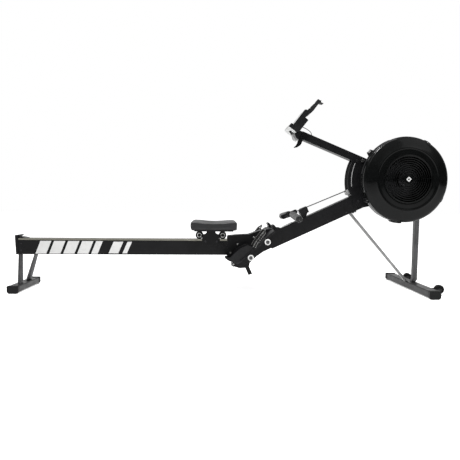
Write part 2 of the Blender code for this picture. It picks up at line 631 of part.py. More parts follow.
def foot_prism(name, outline, n0, n1, finish, origin=(0, 0, 0)):
    """A plate lying on the slanted footrest: outline is (along, y), thickness is above."""
    rings = [[foot_point(t, n, y) for t, y in outline] for n in (n0, n1)]
    return loft(name, rings, finish, origin)


def foot_side_prism(name, outline, y0, y1, finish, origin=(0, 0, 0)):
    return prism(name, slanted(FOOT_REF, FOOT_ANGLE, outline), y0, y1, finish, origin)


def build_footrest(side, word):
    def across(a, b):
        return tuple(sorted((side * a, side * b)))
    y0, y1 = across(PLATE_INNER, PLATE_OUTER)
    toe, heel, c = 0.028, -0.274, 0.022
    outline = [(heel + c, y0), (toe - c, y0), (toe, y0 + c), (toe, y1 - c),
               (toe - c, y1), (heel + c, y1), (heel, y1 - c), (heel, y0 + c)]
    plate = foot_prism(f"foot_plate_{word}", outline, -0.0085, 0.0, BLACK_PLASTIC)
    toe_stop = [(0.0050, -0.0060), (0.0150, 0.0270), (0.0260, 0.0240), (0.0270, -0.0060)]
    join(plate, foot_side_prism(f"toe_stop_{word}", toe_stop, *across(0.0760, 0.1440),
                                BLACK_PLASTIC))

    y0, y1 = across(0.0580, 0.1620)
    shell = [(-0.2790, CLEAR), (-0.2880, 0.0260), (-0.2970, 0.0380), (-0.3040, 0.0650),
             (-0.2780, 0.0490), (-0.2400, 0.0510), (-0.2000, 0.0490), (-0.1620, 0.0360),
             (-0.1500, 0.0180), (-0.1500, CLEAR)]
    cup = foot_side_prism(f"heel_cup_{word}", shell, y0, y1, BLACK_PLASTIC,
                          foot_point(-0.23, 0.0, side * 0.110))
    inside = [(-0.2735, 0.0040), (-0.2830, 0.0280), (-0.2915, 0.0390), (-0.2990, 0.0900),
              (-0.1000, 0.0900), (-0.1000, 0.0040)]
    i0, i1 = across(0.0620, 0.1580)
    cut(cup, foot_side_prism(f"heel_inside_{word}", inside, i0, i1, BLACK_PLASTIC))

    path = [(-0.142, 0.004, 0.1702), (-0.116, 0.014, 0.1710), (-0.080, 0.022, 0.1710),
            (-0.044, 0.029, 0.1670), (-0.028, 0.034, 0.1520), (-0.023, 0.037, 0.1300),
            (-0.022, 0.038, 0.1100), (-0.023, 0.037, 0.0900), (-0.028, 0.034, 0.0680),
            (-0.044, 0.029, 0.0530), (-0.080, 0.022, 0.0490), (-0.116, 0.014, 0.0490),
            (-0.142, 0.004, 0.0498)]
    points = [foot_point(t, n, side * y) for t, n, y in path]
    lean = (foot_point(-0.030, 0.032, 0) - foot_point(-0.150, -0.004, 0)).normalized()
    stations = []
    for k, point in enumerate(points):
        before, after = points[max(k - 1, 0)], points[min(k + 1, len(points) - 1)]
        forward = (after - before).normalized()
        blend = abs(forward.y)
        width = Vector((-lean.z, 0.0, lean.x)) * (1 - blend) + lean * blend
        width = (width - forward * width.dot(forward)).normalized()
        stations.append((point, width, forward.cross(width).normalized()))
    ribbon(f"foot_strap_{word}", stations, 0.0090, 0.0010, WEBBING)


# ---- handle and chain ------------------------------------------------------------------
def chain_point(reach, above=0.0, y=0.0):
    """A point in the chain's own frame; above is positive away from the beam."""
    return along(FAIRLEAD, CHAIN_ANGLE, reach, -above, y)


def chain_outline(points):
    return slanted(FAIRLEAD, CHAIN_ANGLE, [(s, -n) for s, n in points])


def build_handle():
    middle = chain_point(HANDLE_REACH)
    turn = Matrix.Rotation(HANDLE_TURN, 3, "Z")
    yoke = [(HANDLE_REACH - 0.034, -0.0080), (HANDLE_REACH - 0.034, 0.0115),
            (HANDLE_REACH + 0.056, 0.0115), (HANDLE_REACH + 0.064, 0.0020),
            (HANDLE_REACH + 0.058, -0.0120), (HANDLE_REACH + 0.020, -0.0135)]
    body = prism("handle_yoke", chain_outline(yoke), -0.0210, 0.0210, BLACK_PLASTIC, middle)
    for side, word in ((-1, "near"), (1, "far")):
        start = middle + turn @ Vector((-0.002, side * 0.0150, -0.002))
        outer_end = middle + turn @ Vector((-GRIP_BACK, side * GRIP_OUTER, -GRIP_DROP))
        axis = (outer_end - start).normalized()
        core_end = start + axis * (GRIP_OUTER - 0.030)
        join(body, bar_between(f"grip_core_{word}", start, core_end, 0.0120, 16, middle))
        inner = start + axis * (GRIP_INNER - 0.0150)
        grip_tube(f"handle_grip_{word}", inner, outer_end, middle)


def circle(centre, axis, radius, segments):
    side = axis.orthogonal().normalized()
    up = axis.cross(side)
    return [centre + (side * cos(2 * pi * i / segments) + up * sin(2 * pi * i / segments)) * radius
            for i in range(segments)]


def bar_between(name, a, b, radius, segments, origin):
    axis = (b - a).normalized()
    return loft(name, [circle(a, axis, radius, segments), circle(b, axis, radius, segments)],
                STEEL, origin)


def grip_tube(name, a, b, origin):
    """A blind sleeve: open towards the yoke, closed and rounded at its outer end."""
    axis = (b - a).normalized()
    r, bore, length = GRIP_RADIUS, 0.0120 + CLEAR, (b - a).length
    stations = [(length - 0.012, bore), (0.0, bore), (0.0, r - 0.001), (0.004, r),
                (length - 0.006, r), (length - 0.0015, r - 0.0025), (length, r - 0.006)]
    loft(name, [circle(a + axis * s, axis, radius, 20) for s, radius in stations],
         GRIP_FOAM, origin)


def build_chain():
    outline = chain_outline([(0.0, -0.0040), (0.0, 0.0040), (HANDLE_REACH - 0.0345, 0.0040),
                             (HANDLE_REACH - 0.0345, -0.0040)])
    prism("chain_run", outline, -0.0035, 0.0035, STEEL, FAIRLEAD)

    base = [(-0.004, -0.0240), (-0.004, -0.0060), (0.018, -0.0060), (0.018, -0.0240)]
    guide = prism("chain_fairlead", chain_outline(base), -0.0150, 0.0150, SILVER_PLASTIC)
    cheek = [(-0.004, -0.0070), (-0.004, 0.0040), (0.014, 0.0040), (0.018, -0.0070)]
    for side in (-1, 1):
        y0, y1 = sorted((side * 0.0065, side * 0.0150))
        join(guide, prism(f"guide_cheek_{side}", chain_outline(cheek), y0, y1, SILVER_PLASTIC))
    foot = [along(BEAM_REF, BEAM_ANGLE, s, n) for s, n in
            ((0.285, BEAM_DEPTH / 2 + CLEAR), (0.303, BEAM_DEPTH / 2 + CLEAR))]
    top = [chain_point(0.002, -0.023), chain_point(0.016, -0.023)]
    post = [(foot[0].x, foot[0].z), (foot[1].x, foot[1].z), (top[0].x, top[0].z),
            (top[1].x, top[1].z)]
    join(guide, prism("guide_foot", post, -0.0120, 0.0120, SILVER_PLASTIC))


def build_cradle():
    """The block on the beam that the handle is parked against; the chain runs in its slot."""
    left, right = HANDLE_REACH - 0.0465, HANDLE_REACH - 0.0980
    base = [(left, -0.0330), (left, -0.0100), (right, -0.0100), (right, -0.0300)]
    block = prism("handle_cradle", chain_outline(base), -0.0220, 0.0220, BLACK_PLASTIC)
    cheek = [(left, -0.0110), (left - 0.006, 0.0000), (left - 0.012, 0.0050),
             (right, 0.0055), (right, -0.0110)]
    for side in (-1, 1):
        y0, y1 = sorted((side * 0.0065, side * 0.0220))
        join(block, prism(f"cradle_cheek_{side}", chain_outline(cheek), y0, y1, BLACK_PLASTIC))
    surface = BEAM_DEPTH / 2 + CLEAR
    a = along(BEAM_REF, BEAM_ANGLE, -0.045, surface)
    b = along(BEAM_REF, BEAM_ANGLE, -0.005, surface)
    c, d = chain_point(right + 0.008, -0.028), chain_point(left - 0.008, -0.031)
    join(block, prism("cradle_foot", [(a.x, a.z), (b.x, b.z), (c.x, c.z), (d.x, d.z)],
                      -0.0180, 0.0180, BLACK_PLASTIC))


def build_return_line():
    """The chain's hidden stretch: over the sprocket and back down into the beam."""
    wrap = SPROCKET_RADIUS + 0.0065
    start = chain_point(-0.008, 0.0)
    path = [start]
    path += [Vector((AXLE.x + wrap * cos(radians(d)), 0.0, AXLE.z + wrap * sin(radians(d))))
             for d in range(100, -101, -25)]
    path += [along(BEAM_REF, BEAM_ANGLE, s, n) for s, n in ((0.43, 0.020), (0.39, 0.010),
                                                           (0.30, 0.0), (0.10, -0.004))]
    spline_tube("chain_return", path, 0.0030, DARK_STEEL)

    cord = [along(BEAM_REF, BEAM_ANGLE, s, n) for s, n in
            ((0.094, -0.004), (0.0, -0.010), (-0.12, -0.016), (-0.215, -0.018))]
    spline_tube("shock_cord", cord, 0.0040, BLACK_PLASTIC)


def spline_tube(name, path, radius, finish):
    curve = bpy.data.curves.new(name, "CURVE")
    curve.dimensions = "3D"
    curve.bevel_depth = radius
    curve.bevel_resolution = 2
    curve.use_fill_caps = True
    spline = curve.splines.new("POLY")
    spline.points.add(len(path) - 1)
    for point, where in zip(spline.points, path):
        point.co = (*where, 1.0)
    obj = bpy.data.objects.new(name, curve)
    obj.data.materials.append(make_material(name + "_" + finish[0], *finish[1:]))
    bpy.context.scene.collection.objects.link(obj)
    return obj


# ---- monitor ----------------------------------------------------------------------------
def monitor_outline(points):
    """(along the screen, behind the screen) points as an XZ outline."""
    return slanted(MONITOR_REF, MONITOR_ANGLE, [(m, -b) for m, b in points])


def build_arm():
    pivot = along(ARM_REF, ARM_ANGLE, ARM_PIVOT)
    arm = slanted_tube("monitor_arm", ARM_REF, ARM_ANGLE, ARM_START, ARM_END, ARM_DEPTH,
                       ARM_HALF, ARM_WALL, BLACK_PAINT, pivot)
    cut(arm, rod("arm_bore", 0.0063, -0.05, 0.05, pivot.x, pivot.z, STEEL, 16))
    profile = [(0, -0.0365), (0.0105, -0.0365), (0.0105, -0.0325), (0.0060, -0.0325),
               (0.0060, 0.0325), (0.0105, 0.0325), (0.0105, 0.0365), (0, 0.0365)]
    turned("arm_pivot_pin", profile, pivot, STEEL, 16)

    hook = [(-0.2050, -0.0203), (-0.2075, -0.0331), (-0.2060, -0.0499), (-0.2075, -0.0640),
            (-0.2145, -0.0770), (-0.2120, -0.0815), (-0.1960, -0.0705), (-0.1850, -0.0553),
            (-0.1826, -0.0426), (-0.1840, -0.0203)]
    join(arm, prism("phone_hook", slanted(ARM_REF, ARM_ANGLE, hook), -0.0080, 0.0080,
                    BLACK_PLASTIC))


def build_monitor():
    """The screen's case and the bracket, plugged into the arm, that it tilts on."""
    axis = along(ARM_REF, ARM_ANGLE, TILT_ALONG)
    edge = ARM_START - CLEAR
    shape = [(edge, -0.0203), (edge, 0.0195), (-0.2200, 0.0195), (-0.2380, 0.0150),
             (-0.2446, 0.0089), (-0.2634, -0.0105), (-0.2515, -0.0152), (-0.2466, -0.0247),
             (-0.2376, -0.0340), (-0.2266, -0.0385), (-0.2145, -0.0385), (-0.2100, -0.0330)]
    bracket = prism("monitor_bracket", slanted(ARM_REF, ARM_ANGLE, shape), -0.0240, 0.0240,
                    BLACK_PLASTIC)
    tongue = box_outline(edge - 0.002, ARM_START + 0.030, -0.0180, 0.0180)
    join(bracket, prism("arm_tongue", slanted(ARM_REF, ARM_ANGLE, tongue), -0.0215, 0.0215,
                        BLACK_PLASTIC))
    cut(bracket, rod("tilt_bore", 0.0048, -0.06, 0.06, axis.x, axis.z, STEEL, 14))
    slot = box_outline(-0.3000, TILT_ALONG + 0.0150, -0.0150, 0.0500)
    cut(bracket, prism("tilt_slot", slanted(ARM_REF, ARM_ANGLE, slot), -0.0102, 0.0102,
                       BLACK_PLASTIC))

    case = [(-0.0255, 0.0), (-0.0255, -0.0155), (-0.0030, -0.0155), (-0.0015, 0.0),
            (0.1050, 0.0), (0.1085, 0.0030), (0.1100, 0.0256), (0.0710, 0.0260),
            (0.0700, 0.0505), (-0.0080, 0.0500), (-0.0255, 0.0380)]
    body = prism("monitor_body", monitor_outline(case), -MONITOR_HALF, MONITOR_HALF,
                 BLACK_PLASTIC, axis)
    notch = [(-0.0400, 0.0090), (0.0180, 0.0090), (0.0180, 0.0700), (-0.0400, 0.0700)]
    cut(body, prism("arm_notch", monitor_outline(notch), -0.0265, 0.0265, BLACK_PLASTIC))
    ear = [(-0.0200, 0.0070), (0.0060, 0.0070), (0.0020, 0.0600), (-0.0098, 0.0640),
           (-0.0200, 0.0600)]
    join(body, prism("tilt_ear", monitor_outline(ear), -0.0098, 0.0098, BLACK_PLASTIC))
    join(body, rod("tilt_pin", 0.0044, -0.0238, 0.0238, axis.x, axis.z, STEEL, 14))
    for side in (-1, 1):
        y0, y1 = sorted((side * 0.0506, side * 0.0546))
        lug = monitor_outline([(0.0780, 0.0220), (0.1040, 0.0220)]) + \
            holder_outline([(0.0045, 0.0), (0.0, 0.0045), (-0.0055, 0.0030)])
        join(body, prism(f"holder_lug_{side}", lug, y0, y1, BLACK_PLASTIC))
        y0, y1 = sorted((side * 0.0440, side * 0.0530))
        join(body, rod(f"holder_pin_{side}", 0.0022, y0, y1, HOLDER_REF.x, HOLDER_REF.z,
                       STEEL, 12))


def holder_outline(points):
    """(along the holder, behind it) points as an XZ outline."""
    return slanted(HOLDER_REF, HOLDER_ANGLE, [(s, -b) for s, b in points])


def build_holder():
    """A spring clamp above the screen: a fixed jaw and a jaw that slides out."""
    plate = [(-0.0095, 0.0010), (-0.0070, -0.0050), (0.0080, -0.0090), (0.0070, -0.0195),
             (0.0120, -0.0195), (0.0160, -0.0125), (0.0625, -0.0095), (0.0615, 0.0092),
             (0.0204, 0.0090), (0.0014, 0.0062)]
    holder = prism("device_holder", holder_outline(plate), -0.0500, 0.0500, BLACK_PLASTIC,
                   HOLDER_REF)
    cut(holder, rod("holder_bore", 0.0026, -0.06, 0.06, HOLDER_REF.x, HOLDER_REF.z, STEEL, 12))
    pocket = [(0.0280, -0.0030), (0.0900, -0.0030), (0.0900, 0.0040), (0.0280, 0.0040)]
    cut(holder, prism("jaw_pocket", holder_outline(pocket), -0.0160, 0.0160, BLACK_PLASTIC))
    jaw = [(0.0300, -0.0026), (0.0660, -0.0026), (0.0660, -0.0080), (0.0845, -0.0085),
           (0.0972, -0.0077), (0.0983, 0.0055), (0.1021, 0.0132), (0.0930, 0.0166),
           (0.0969, 0.0335), (0.0916, 0.0318), (0.0857, 0.0187), (0.0821, 0.0110),
           (0.0660, 0.0080), (0.0660, 0.0036), (0.0300, 0.0036)]
    prism("holder_jaw", holder_outline(jaw), -0.0155, 0.0155, BLACK_PLASTIC)


def catmull_rom(points, per_span):
    """A smooth curve through the points, closed off at both ends."""
    padded = [points[0] * 2 - points[1]] + points + [points[-1] * 2 - points[-2]]
    result = []
    for a, b, c, d in zip(padded, padded[1:], padded[2:], padded[3:]):
        for k in range(per_span):
            t = k / per_span
            result.append(0.5 * (2 * b + (c - a) * t + (2 * a - 5 * b + 4 * c - d) * t * t
                                 + (3 * b - a - 3 * c + d) * t ** 3))
    result.append(points[-1])
    return result


def build_monitor_cable():
    """The sensor lead that arches from the back of the screen into the arm."""
    route = [Vector(p) for p in CABLE_ROUTE]
    spline_tube("monitor_cable", catmull_rom(route, 3), CABLE_RADIUS, RUBBER)


build_rail()
build_rear_foot()
build_front_foot()
build_strut()
build_beam()
build_junction()
build_lock_and_caster()
build_head()
build_fan_covers()
build_grille()
build_flywheel()
build_sprocket()
build_damper()
build_seat()
build_footrest(-1, "near")
build_footrest(1, "far")
build_handle()
build_chain()
build_cradle()
build_return_line()
build_arm()
build_monitor()
build_holder()
build_monitor_cable()
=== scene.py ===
"""Looks of the air rowing machine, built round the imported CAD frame.

Metres, +Z up, +X along the rail towards the fan. The pieces below either dress a CAD
node with a finish and softened edges, or stand for one with a finer shape.
"""
from math import cos, pi, radians, sin

import bmesh
import bpy
import numpy as np
from mathutils import Matrix, Vector


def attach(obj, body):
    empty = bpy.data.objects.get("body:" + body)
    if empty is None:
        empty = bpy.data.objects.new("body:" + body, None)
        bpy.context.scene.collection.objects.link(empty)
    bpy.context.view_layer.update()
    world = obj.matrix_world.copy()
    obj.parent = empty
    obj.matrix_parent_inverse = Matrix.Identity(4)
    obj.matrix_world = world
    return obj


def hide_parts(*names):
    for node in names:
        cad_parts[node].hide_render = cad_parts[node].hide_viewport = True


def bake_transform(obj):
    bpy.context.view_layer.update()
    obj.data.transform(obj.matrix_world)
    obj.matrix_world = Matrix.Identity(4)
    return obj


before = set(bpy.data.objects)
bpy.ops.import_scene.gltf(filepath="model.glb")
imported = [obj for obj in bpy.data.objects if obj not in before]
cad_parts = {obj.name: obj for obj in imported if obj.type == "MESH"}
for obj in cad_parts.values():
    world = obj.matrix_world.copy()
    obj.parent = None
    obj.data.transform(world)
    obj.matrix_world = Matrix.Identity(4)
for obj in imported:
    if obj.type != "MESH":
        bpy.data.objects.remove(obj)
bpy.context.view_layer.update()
scene = bpy.context.scene

# ---- camera -------------------------------------------------------------------------
CAMERA_AT = Vector((-0.0793, -2.4859, 0.5236))
CAMERA_LENS, CAMERA_SENSOR = 32.98, 36.0
CAMERA_YAW, CAMERA_PITCH, CAMERA_ROLL = 0.0384, 0.0697, 0.0085


def build_camera():
    forward = Vector((sin(CAMERA_YAW) * cos(CAMERA_PITCH),
                      cos(CAMERA_YAW) * cos(CAMERA_PITCH), -sin(CAMERA_PITCH)))
    right = Vector((cos(CAMERA_YAW), -sin(CAMERA_YAW), 0.0))
    up = right.cross(forward)
    tilted_right = right * cos(CAMERA_ROLL) + up * sin(CAMERA_ROLL)
    tilted_up = up * cos(CAMERA_ROLL) - right * sin(CAMERA_ROLL)
    data = bpy.data.cameras.new("camera")
    data.lens, data.sensor_width = CAMERA_LENS, CAMERA_SENSOR
    camera = bpy.data.objects.new("camera", data)
    turn = Matrix((tilted_right, tilted_up, -forward)).transposed().to_4x4()
    camera.matrix_world = Matrix.Translation(CAMERA_AT) @ turn
    scene.collection.objects.link(camera)
    scene.camera = camera


# ---- the frame's main lines, as the CAD has them -------------------------------------
BEAM_REF, BEAM_ANGLE, BEAM_DEPTH = Vector((0.489, 0.0, 0.3947)), radians(24.8), 0.0894
ARM_REF, ARM_ANGLE = Vector((0.6158, 0.0, 0.8315)), radians(-22.0)
FAIRLEAD, CHAIN_ANGLE, HANDLE_REACH = Vector((0.712, 0.0, 0.591)), radians(202.9), 0.362
FOOT_REF, FOOT_ANGLE = Vector((0.2537, 0.0, 0.3558)), radians(41.5)
MONITOR_REF, MONITOR_ANGLE = Vector((0.3700, 0.0, 0.9580)), radians(52.3)
HOLDER_REF, HOLDER_ANGLE = Vector((0.4700, 0.0, 1.0330)), radians(54.0)
AXLE = Vector((0.987, 0.0, 0.648))
FAN_RADIUS = 0.2380
FAN_SPLIT = -0.1585
HANDLE_TURN, GRIP_BACK, GRIP_DROP, GRIP_OUTER = 0.040, 0.008, 0.024, 0.238
RAIL_HALF, TRACK_TOP = 0.0275, 0.2980
ROLLERS = {"rear": -0.1640, "front": -0.0274}
ROLLER_RADIUS, ROLLER_Z = 0.0222, 0.3205
RODS = {"upper": (0.2190, 0.2961), "lower": (0.1266, 0.2080)}
SIDES = (("near", -1), ("far", 1))
ACROSS = Vector((0.0, 1.0, 0.0))
CABLE_LENGTH, CABLE_DIAMETER = 0.0787, 0.0040
CABLE_ROUTE = [(0.4354, 0.0, 0.9567), (0.4440, 0.0, 0.9530), (0.4560, 0.0, 0.9475),
               (0.4705, 0.0, 0.9389), (0.4840, 0.0, 0.9275), (0.4900, 0.0, 0.9160),
               (0.4905, 0.0, 0.9074)]


def along(ref, angle, s, n=0.0, y=0.0):
    """The point s along and n above a slanted line that passes through ref."""
    return Vector((ref.x + s * cos(angle) - n * sin(angle), y,
                   ref.z + s * sin(angle) + n * cos(angle)))


def slanted(ref, angle, points):
    return [(p.x, p.z) for p in (along(ref, angle, s, n) for s, n in points)]


def slant_axes(angle):
    """Unit axes of a slanted part: across the machine, along the slant, and above it."""
    return ACROSS, spoke(angle), Vector((-sin(angle), 0.0, cos(angle)))


def spoke(angle):
    """The unit direction at an angle in the side view."""
    return Vector((cos(angle), 0.0, sin(angle)))


def spoke_axes(angle):
    out = spoke(angle)
    return out, ACROSS, out.cross(ACROSS)


def flanks(inner, outer):
    """The two y spans between inner and outer, on the near side and the far side."""
    return [tuple(sorted((side * inner, side * outer))) for _, side in SIDES]


def chain_point(reach, above=0.0, y=0.0):
    return along(FAIRLEAD, CHAIN_ANGLE, reach, -above, y)


def foot_point(t, n, y):
    return along(FOOT_REF, FOOT_ANGLE, t, n, y)


def arc_point(radius, degrees):
    a = radians(degrees)
    return (AXLE.x + radius * cos(a), AXLE.z + radius * sin(a))


# ---- materials ------------------------------------------------------------------------
class Nodes:
    """Shorthand for one node tree, a material's or the world's."""

    def __init__(self, owner):
        owner.use_nodes = True
        self.tree = owner.node_tree

    def node(self, kind, **values):
        node = self.tree.nodes.new(kind)
        for key, value in values.items():
            setattr(node, key, value)
        return node

    def link(self, a, b):
        self.tree.links.new(a, b)

    def math(self, operation, a, b=None, c=None):
        node = self.node("ShaderNodeMath", operation=operation)
        for socket, value in zip(node.inputs, (a, b, c)):
            if isinstance(value, (int, float)):
                socket.default_value = value
            elif value is not None:
                self.link(value, socket)
        return node.outputs[0]

    def spread(self, source, low, high, from_low=0.35, from_high=0.65, curve="LINEAR"):
        node = self.node("ShaderNodeMapRange", interpolation_type=curve)
        for key, value in (("From Min", from_low), ("From Max", from_high),
                           ("To Min", low), ("To Max", high)):
            node.inputs[key].default_value = value
        self.link(source, node.inputs["Value"])
        return node.outputs["Result"]


class Finish(Nodes):
    """A node material on one Principled shader; constants stay on the shader's sockets."""

    def __init__(self, name, roughness=0.5, metallic=0.0, specular=0.5, coat=0.0, sheen=0.0):
        self.material = bpy.data.materials.new(name)
        super().__init__(self.material)
        self.shader = self.tree.nodes["Principled BSDF"]
        for socket, value in (("Roughness", roughness), ("Metallic", metallic),
                              ("Specular IOR Level", specular), ("Coat Weight", coat),
                              ("Coat Roughness", 0.08), ("Sheen Weight", sheen)):
            self.set(socket, value)
        self.height = None
        self.coords = self.node("ShaderNodeTexCoord").outputs["Object"]

    def set(self, socket, value):
        self.shader.inputs[socket].default_value = value

    def scaled(self, stretch):
        mapping = self.node("ShaderNodeMapping")
        mapping.inputs["Scale"].default_value = stretch
        self.link(self.coords, mapping.inputs["Vector"])
        return mapping.outputs["Vector"]

    def noise(self, scale, detail=4.0, stretch=None):
        node = self.node("ShaderNodeTexNoise")
        for key, value in (("Scale", scale), ("Detail", detail), ("Roughness", 0.55)):
            node.inputs[key].default_value = value
        self.link(self.scaled(stretch) if stretch else self.coords, node.inputs["Vector"])
        return node.outputs["Fac"]

    def cells(self, scale, feature="F1"):
        node = self.node("ShaderNodeTexVoronoi", feature=feature)
        node.inputs["Scale"].default_value = scale
        self.link(self.coords, node.inputs["Vector"])
        return node.outputs["Distance"]

    def attribute_wave(self, attribute, scale):
        """A sine across a named length stored on the mesh, 0 to 1."""
        source = self.node("ShaderNodeAttribute", attribute_name=attribute)
        turn = self.math("MULTIPLY", source.outputs["Fac"], 2 * pi / scale)
        return self.math("MULTIPLY_ADD", self.math("SINE", turn), 0.5, 0.5)

    def mix(self, factor, a, b):
        node = self.node("ShaderNodeMix", data_type="RGBA")
        for index, value in ((6, a), (7, b)):
            if isinstance(value, tuple):
                node.inputs[index].default_value = (*value, 1.0)
            else:
                self.link(value, node.inputs[index])
        self.link(factor, node.inputs[0])
        return node.outputs[2]

    def colour(self, source):
        self.link(source, self.shader.inputs["Base Color"])
        return self

    def worn(self, scale, detail, low, high, stretch=None):
        """Roughness that wanders between low and high."""
        self.link(self.spread(self.noise(scale, detail, stretch), low, high),
                  self.shader.inputs["Roughness"])

    def bump(self, source, distance, strength=1.0):
        node = self.node("ShaderNodeBump")
        node.inputs["Distance"].default_value = distance
        node.inputs["Strength"].default_value = strength
        self.link(source, node.inputs["Height"])
        if self.height is not None:
            self.link(self.height, node.inputs["Normal"])
        self.height = node.outputs["Normal"]
        self.link(self.height, self.shader.inputs["Normal"])
        return self


def shade(colour, factor):
    return tuple(min(1.0, c * factor) for c in colour)


def mottled(finish, colour, low=0.85, high=1.2, scale=14.0):
    """The base colour with the slow, slight unevenness that a handled surface has."""
    return finish.colour(finish.mix(finish.spread(finish.noise(scale), 0.0, 1.0),
                                    shade(colour, low), shade(colour, high)))


def powder_coat(name, colour, roughness, metallic=0.0, specular=0.35):
    """Baked powder paint: an orange-peel skin with faint rubbed patches."""
    f = Finish(name, metallic=metallic, specular=specular)
    mottled(f, colour)
    f.worn(30.0, 6.0, roughness - 0.06, roughness + 0.07)
    f.bump(f.noise(900.0, 2.0), 0.00010, 0.35)
    return f.bump(f.noise(160.0, 2.0), 0.00015, 0.20).material


def moulded(name, colour, roughness, specular=0.35, grain=0.00012, scale=1500.0, coat=0.0,
            uneven=0.15):
    """Injection-moulded plastic with a fine pebbled grain."""
    f = Finish(name, specular=specular, coat=coat)
    mottled(f, colour, 1.0 - uneven, 1.0 + uneven, 22.0)
    f.worn(55.0, 5.0, roughness - 0.05, roughness + 0.06)
    return f.bump(f.cells(scale), grain, 0.4).material


def brushed(name, colour, roughness, stretch, specular=0.5):
    """Metal with a one-way grain: stretch is small along the grain."""
    f = Finish(name, metallic=1.0, specular=specular)
    grain = f.noise(900.0, 3.0, stretch)
    f.colour(f.mix(f.spread(grain, 0.0, 1.0), shade(colour, 0.82), shade(colour, 1.15)))
    f.worn(420.0, 4.0, roughness - 0.08, roughness + 0.10, stretch)
    return f.bump(grain, 0.00005, 0.4).material


def rubber(name, colour, roughness, scale=700.0):
    f = Finish(name, specular=0.12)
    mottled(f, colour, 0.8, 1.3, 60.0)
    f.worn(90.0, 4.0, roughness - 0.08, roughness + 0.06)
    return f.bump(f.noise(scale, 3.0), 0.00015, 0.4).material


def foam(name, colour):
    """Closed-cell foam: small pits, painted darker as shade, and a dry, velvety skin."""
    f = Finish(name, specular=0.2, sheen=0.15)
    pits = f.cells(620.0)
    # the pits, low in the bump, are coloured darker than the skin around them: a painted shade in
    # the pits
    f.colour(f.mix(f.spread(pits, 0.0, 1.0, 0.1, 0.6), shade(colour, 0.7), shade(colour, 1.25)))
    f.worn(70.0, 4.0, 0.82, 0.95)
    return f.bump(pits, 0.00025, 0.5).material


def seat_skin(name, colour):
    """The seat's moulded skin: leather-like pebbles, a little shine where it is sat on."""
    f = Finish(name, specular=0.30, coat=0.03)
    f.set("Coat Roughness", 0.35)
    pebbles = f.cells(520.0, "SMOOTH_F1")
    mottled(f, colour, 0.85, 1.25, 18.0)
    f.worn(16.0, 5.0, 0.42, 0.56)
    f.bump(f.noise(1400.0, 2.0), 0.00008, 0.3)
    return f.bump(pebbles, 0.00022, 0.45).material


def webbing(name, colour):
    """Woven strap: painted shade darkens the grooves between its threads into dark ribs across it;
    a light line runs along each edge.
    """
    f = Finish(name, specular=0.15, sheen=0.08)
    ribs = f.attribute_wave("run", 0.0016)
    picks = f.attribute_wave("side", 0.0013)
    weave = f.math("MULTIPLY", ribs, picks)
    side = f.node("ShaderNodeAttribute", attribute_name="side").outputs["Fac"]
    off = f.math("ABSOLUTE", f.math("SUBTRACT", f.math("ABSOLUTE", side), 0.0066))
    tone = f.mix(f.spread(off, 1.0, 0.0, 0.0013, 0.0019), shade(colour, 0.045), colour)
    # where the weave is low in the bump, between the threads, the colour goes darker: a painted
    # shade in the weave's grooves
    thread = f.mix(f.spread(weave, 0.0, 1.0, 0.0, 0.8), shade(colour, 0.030), tone)
    f.colour(thread)
    f.worn(200.0, 4.0, 0.75, 0.92)
    return f.bump(weave, 0.00022, 0.7).material


def glass(name):
    f = Finish(name, specular=0.6, coat=0.5)
    mottled(f, (0.012, 0.016, 0.014), 0.8, 1.2, 10.0)
    f.worn(40.0, 3.0, 0.06, 0.16)
    return f.bump(f.noise(60.0, 2.0), 0.00003, 0.2).material


LOOK = {
    "paint": powder_coat("black_powder_coat", (0.0036, 0.0036, 0.0040), 0.40, 0.0, 0.13),
    "grey": powder_coat("grey_metallic_paint", (0.072, 0.072, 0.074), 0.36, 0.50, 0.22),
    "strut": powder_coat("strut_grey_paint", (0.20, 0.20, 0.20), 0.30, 0.60, 0.35),
    "bar": powder_coat("dark_metallic_paint", (0.0105, 0.0105, 0.0110), 0.34, 0.0, 0.16),
    "plastic": moulded("black_moulded_plastic", (0.0048, 0.0048, 0.0052), 0.44, 0.13),
    "rib": moulded("ribbed_black_plastic", (0.0075, 0.0075, 0.0080), 0.50, 0.14,
                   grain=0.0002),
    "gloss": moulded("gloss_black_plastic", (0.0022, 0.0024, 0.0024), 0.14, 0.08, 0.00003,
                     300.0, 0.05),
    "matt": moulded("matt_black_plastic", (0.0040, 0.0040, 0.0044), 0.75, 0.03),
    "silver": moulded("silver_plastic", (0.37, 0.375, 0.37), 0.34),
    "light": moulded("light_grey_plastic", (0.20, 0.20, 0.20), 0.38),
    "washer": moulded("pale_washer_plastic", (0.56, 0.56, 0.55), 0.38),
    "track": brushed("brushed_track", (0.170, 0.165, 0.140), 0.30, (0.02, 1.0, 1.0)),
    "steel": brushed("brushed_steel", (0.30, 0.30, 0.29), 0.28, (1.0, 0.05, 1.0)),
    "chain": brushed("chain_steel", (0.16, 0.16, 0.155), 0.34, (1.0, 1.0, 1.0)),
    "iron": brushed("dark_steel", (0.030, 0.030, 0.032), 0.42, (1.0, 0.1, 1.0)),
    "rubber": rubber("black_rubber", (0.0060, 0.0060, 0.0060), 0.66),
    "tyre": rubber("roller_tyre", (0.0050, 0.0050, 0.0050), 0.52, 500.0),
    "grip": foam("grip_foam", (0.016, 0.016, 0.0155)),
    "seat": seat_skin("seat_skin", (0.0065, 0.0065, 0.0070)),
    "strap": webbing("strap_webbing", (0.36, 0.36, 0.35)),
    "cord": rubber("cord_sleeve", (0.010, 0.010, 0.010), 0.8, 300.0),
    "decal": moulded("white_film", (0.49, 0.49, 0.485), 0.30, 0.4, 0.00004, 250.0,
                     uneven=0.03),
    "glass": glass("screen_glass"),
}


# ---- making pieces ------------------------------------------------------------------------
def modifier(obj, name, kind, **values):
    added = obj.modifiers.new(name, kind)
    for key, value in values.items():
        setattr(added, key, value)
    return added


def soften(obj, width, segments=2):
    """Rounds the piece's hard edges by a small bevel with flat-looking faces."""
    if width:
        modifier(obj, "edges", "BEVEL", width=width, segments=segments, limit_method="ANGLE",
                 angle_limit=radians(30.0), harden_normals=True)


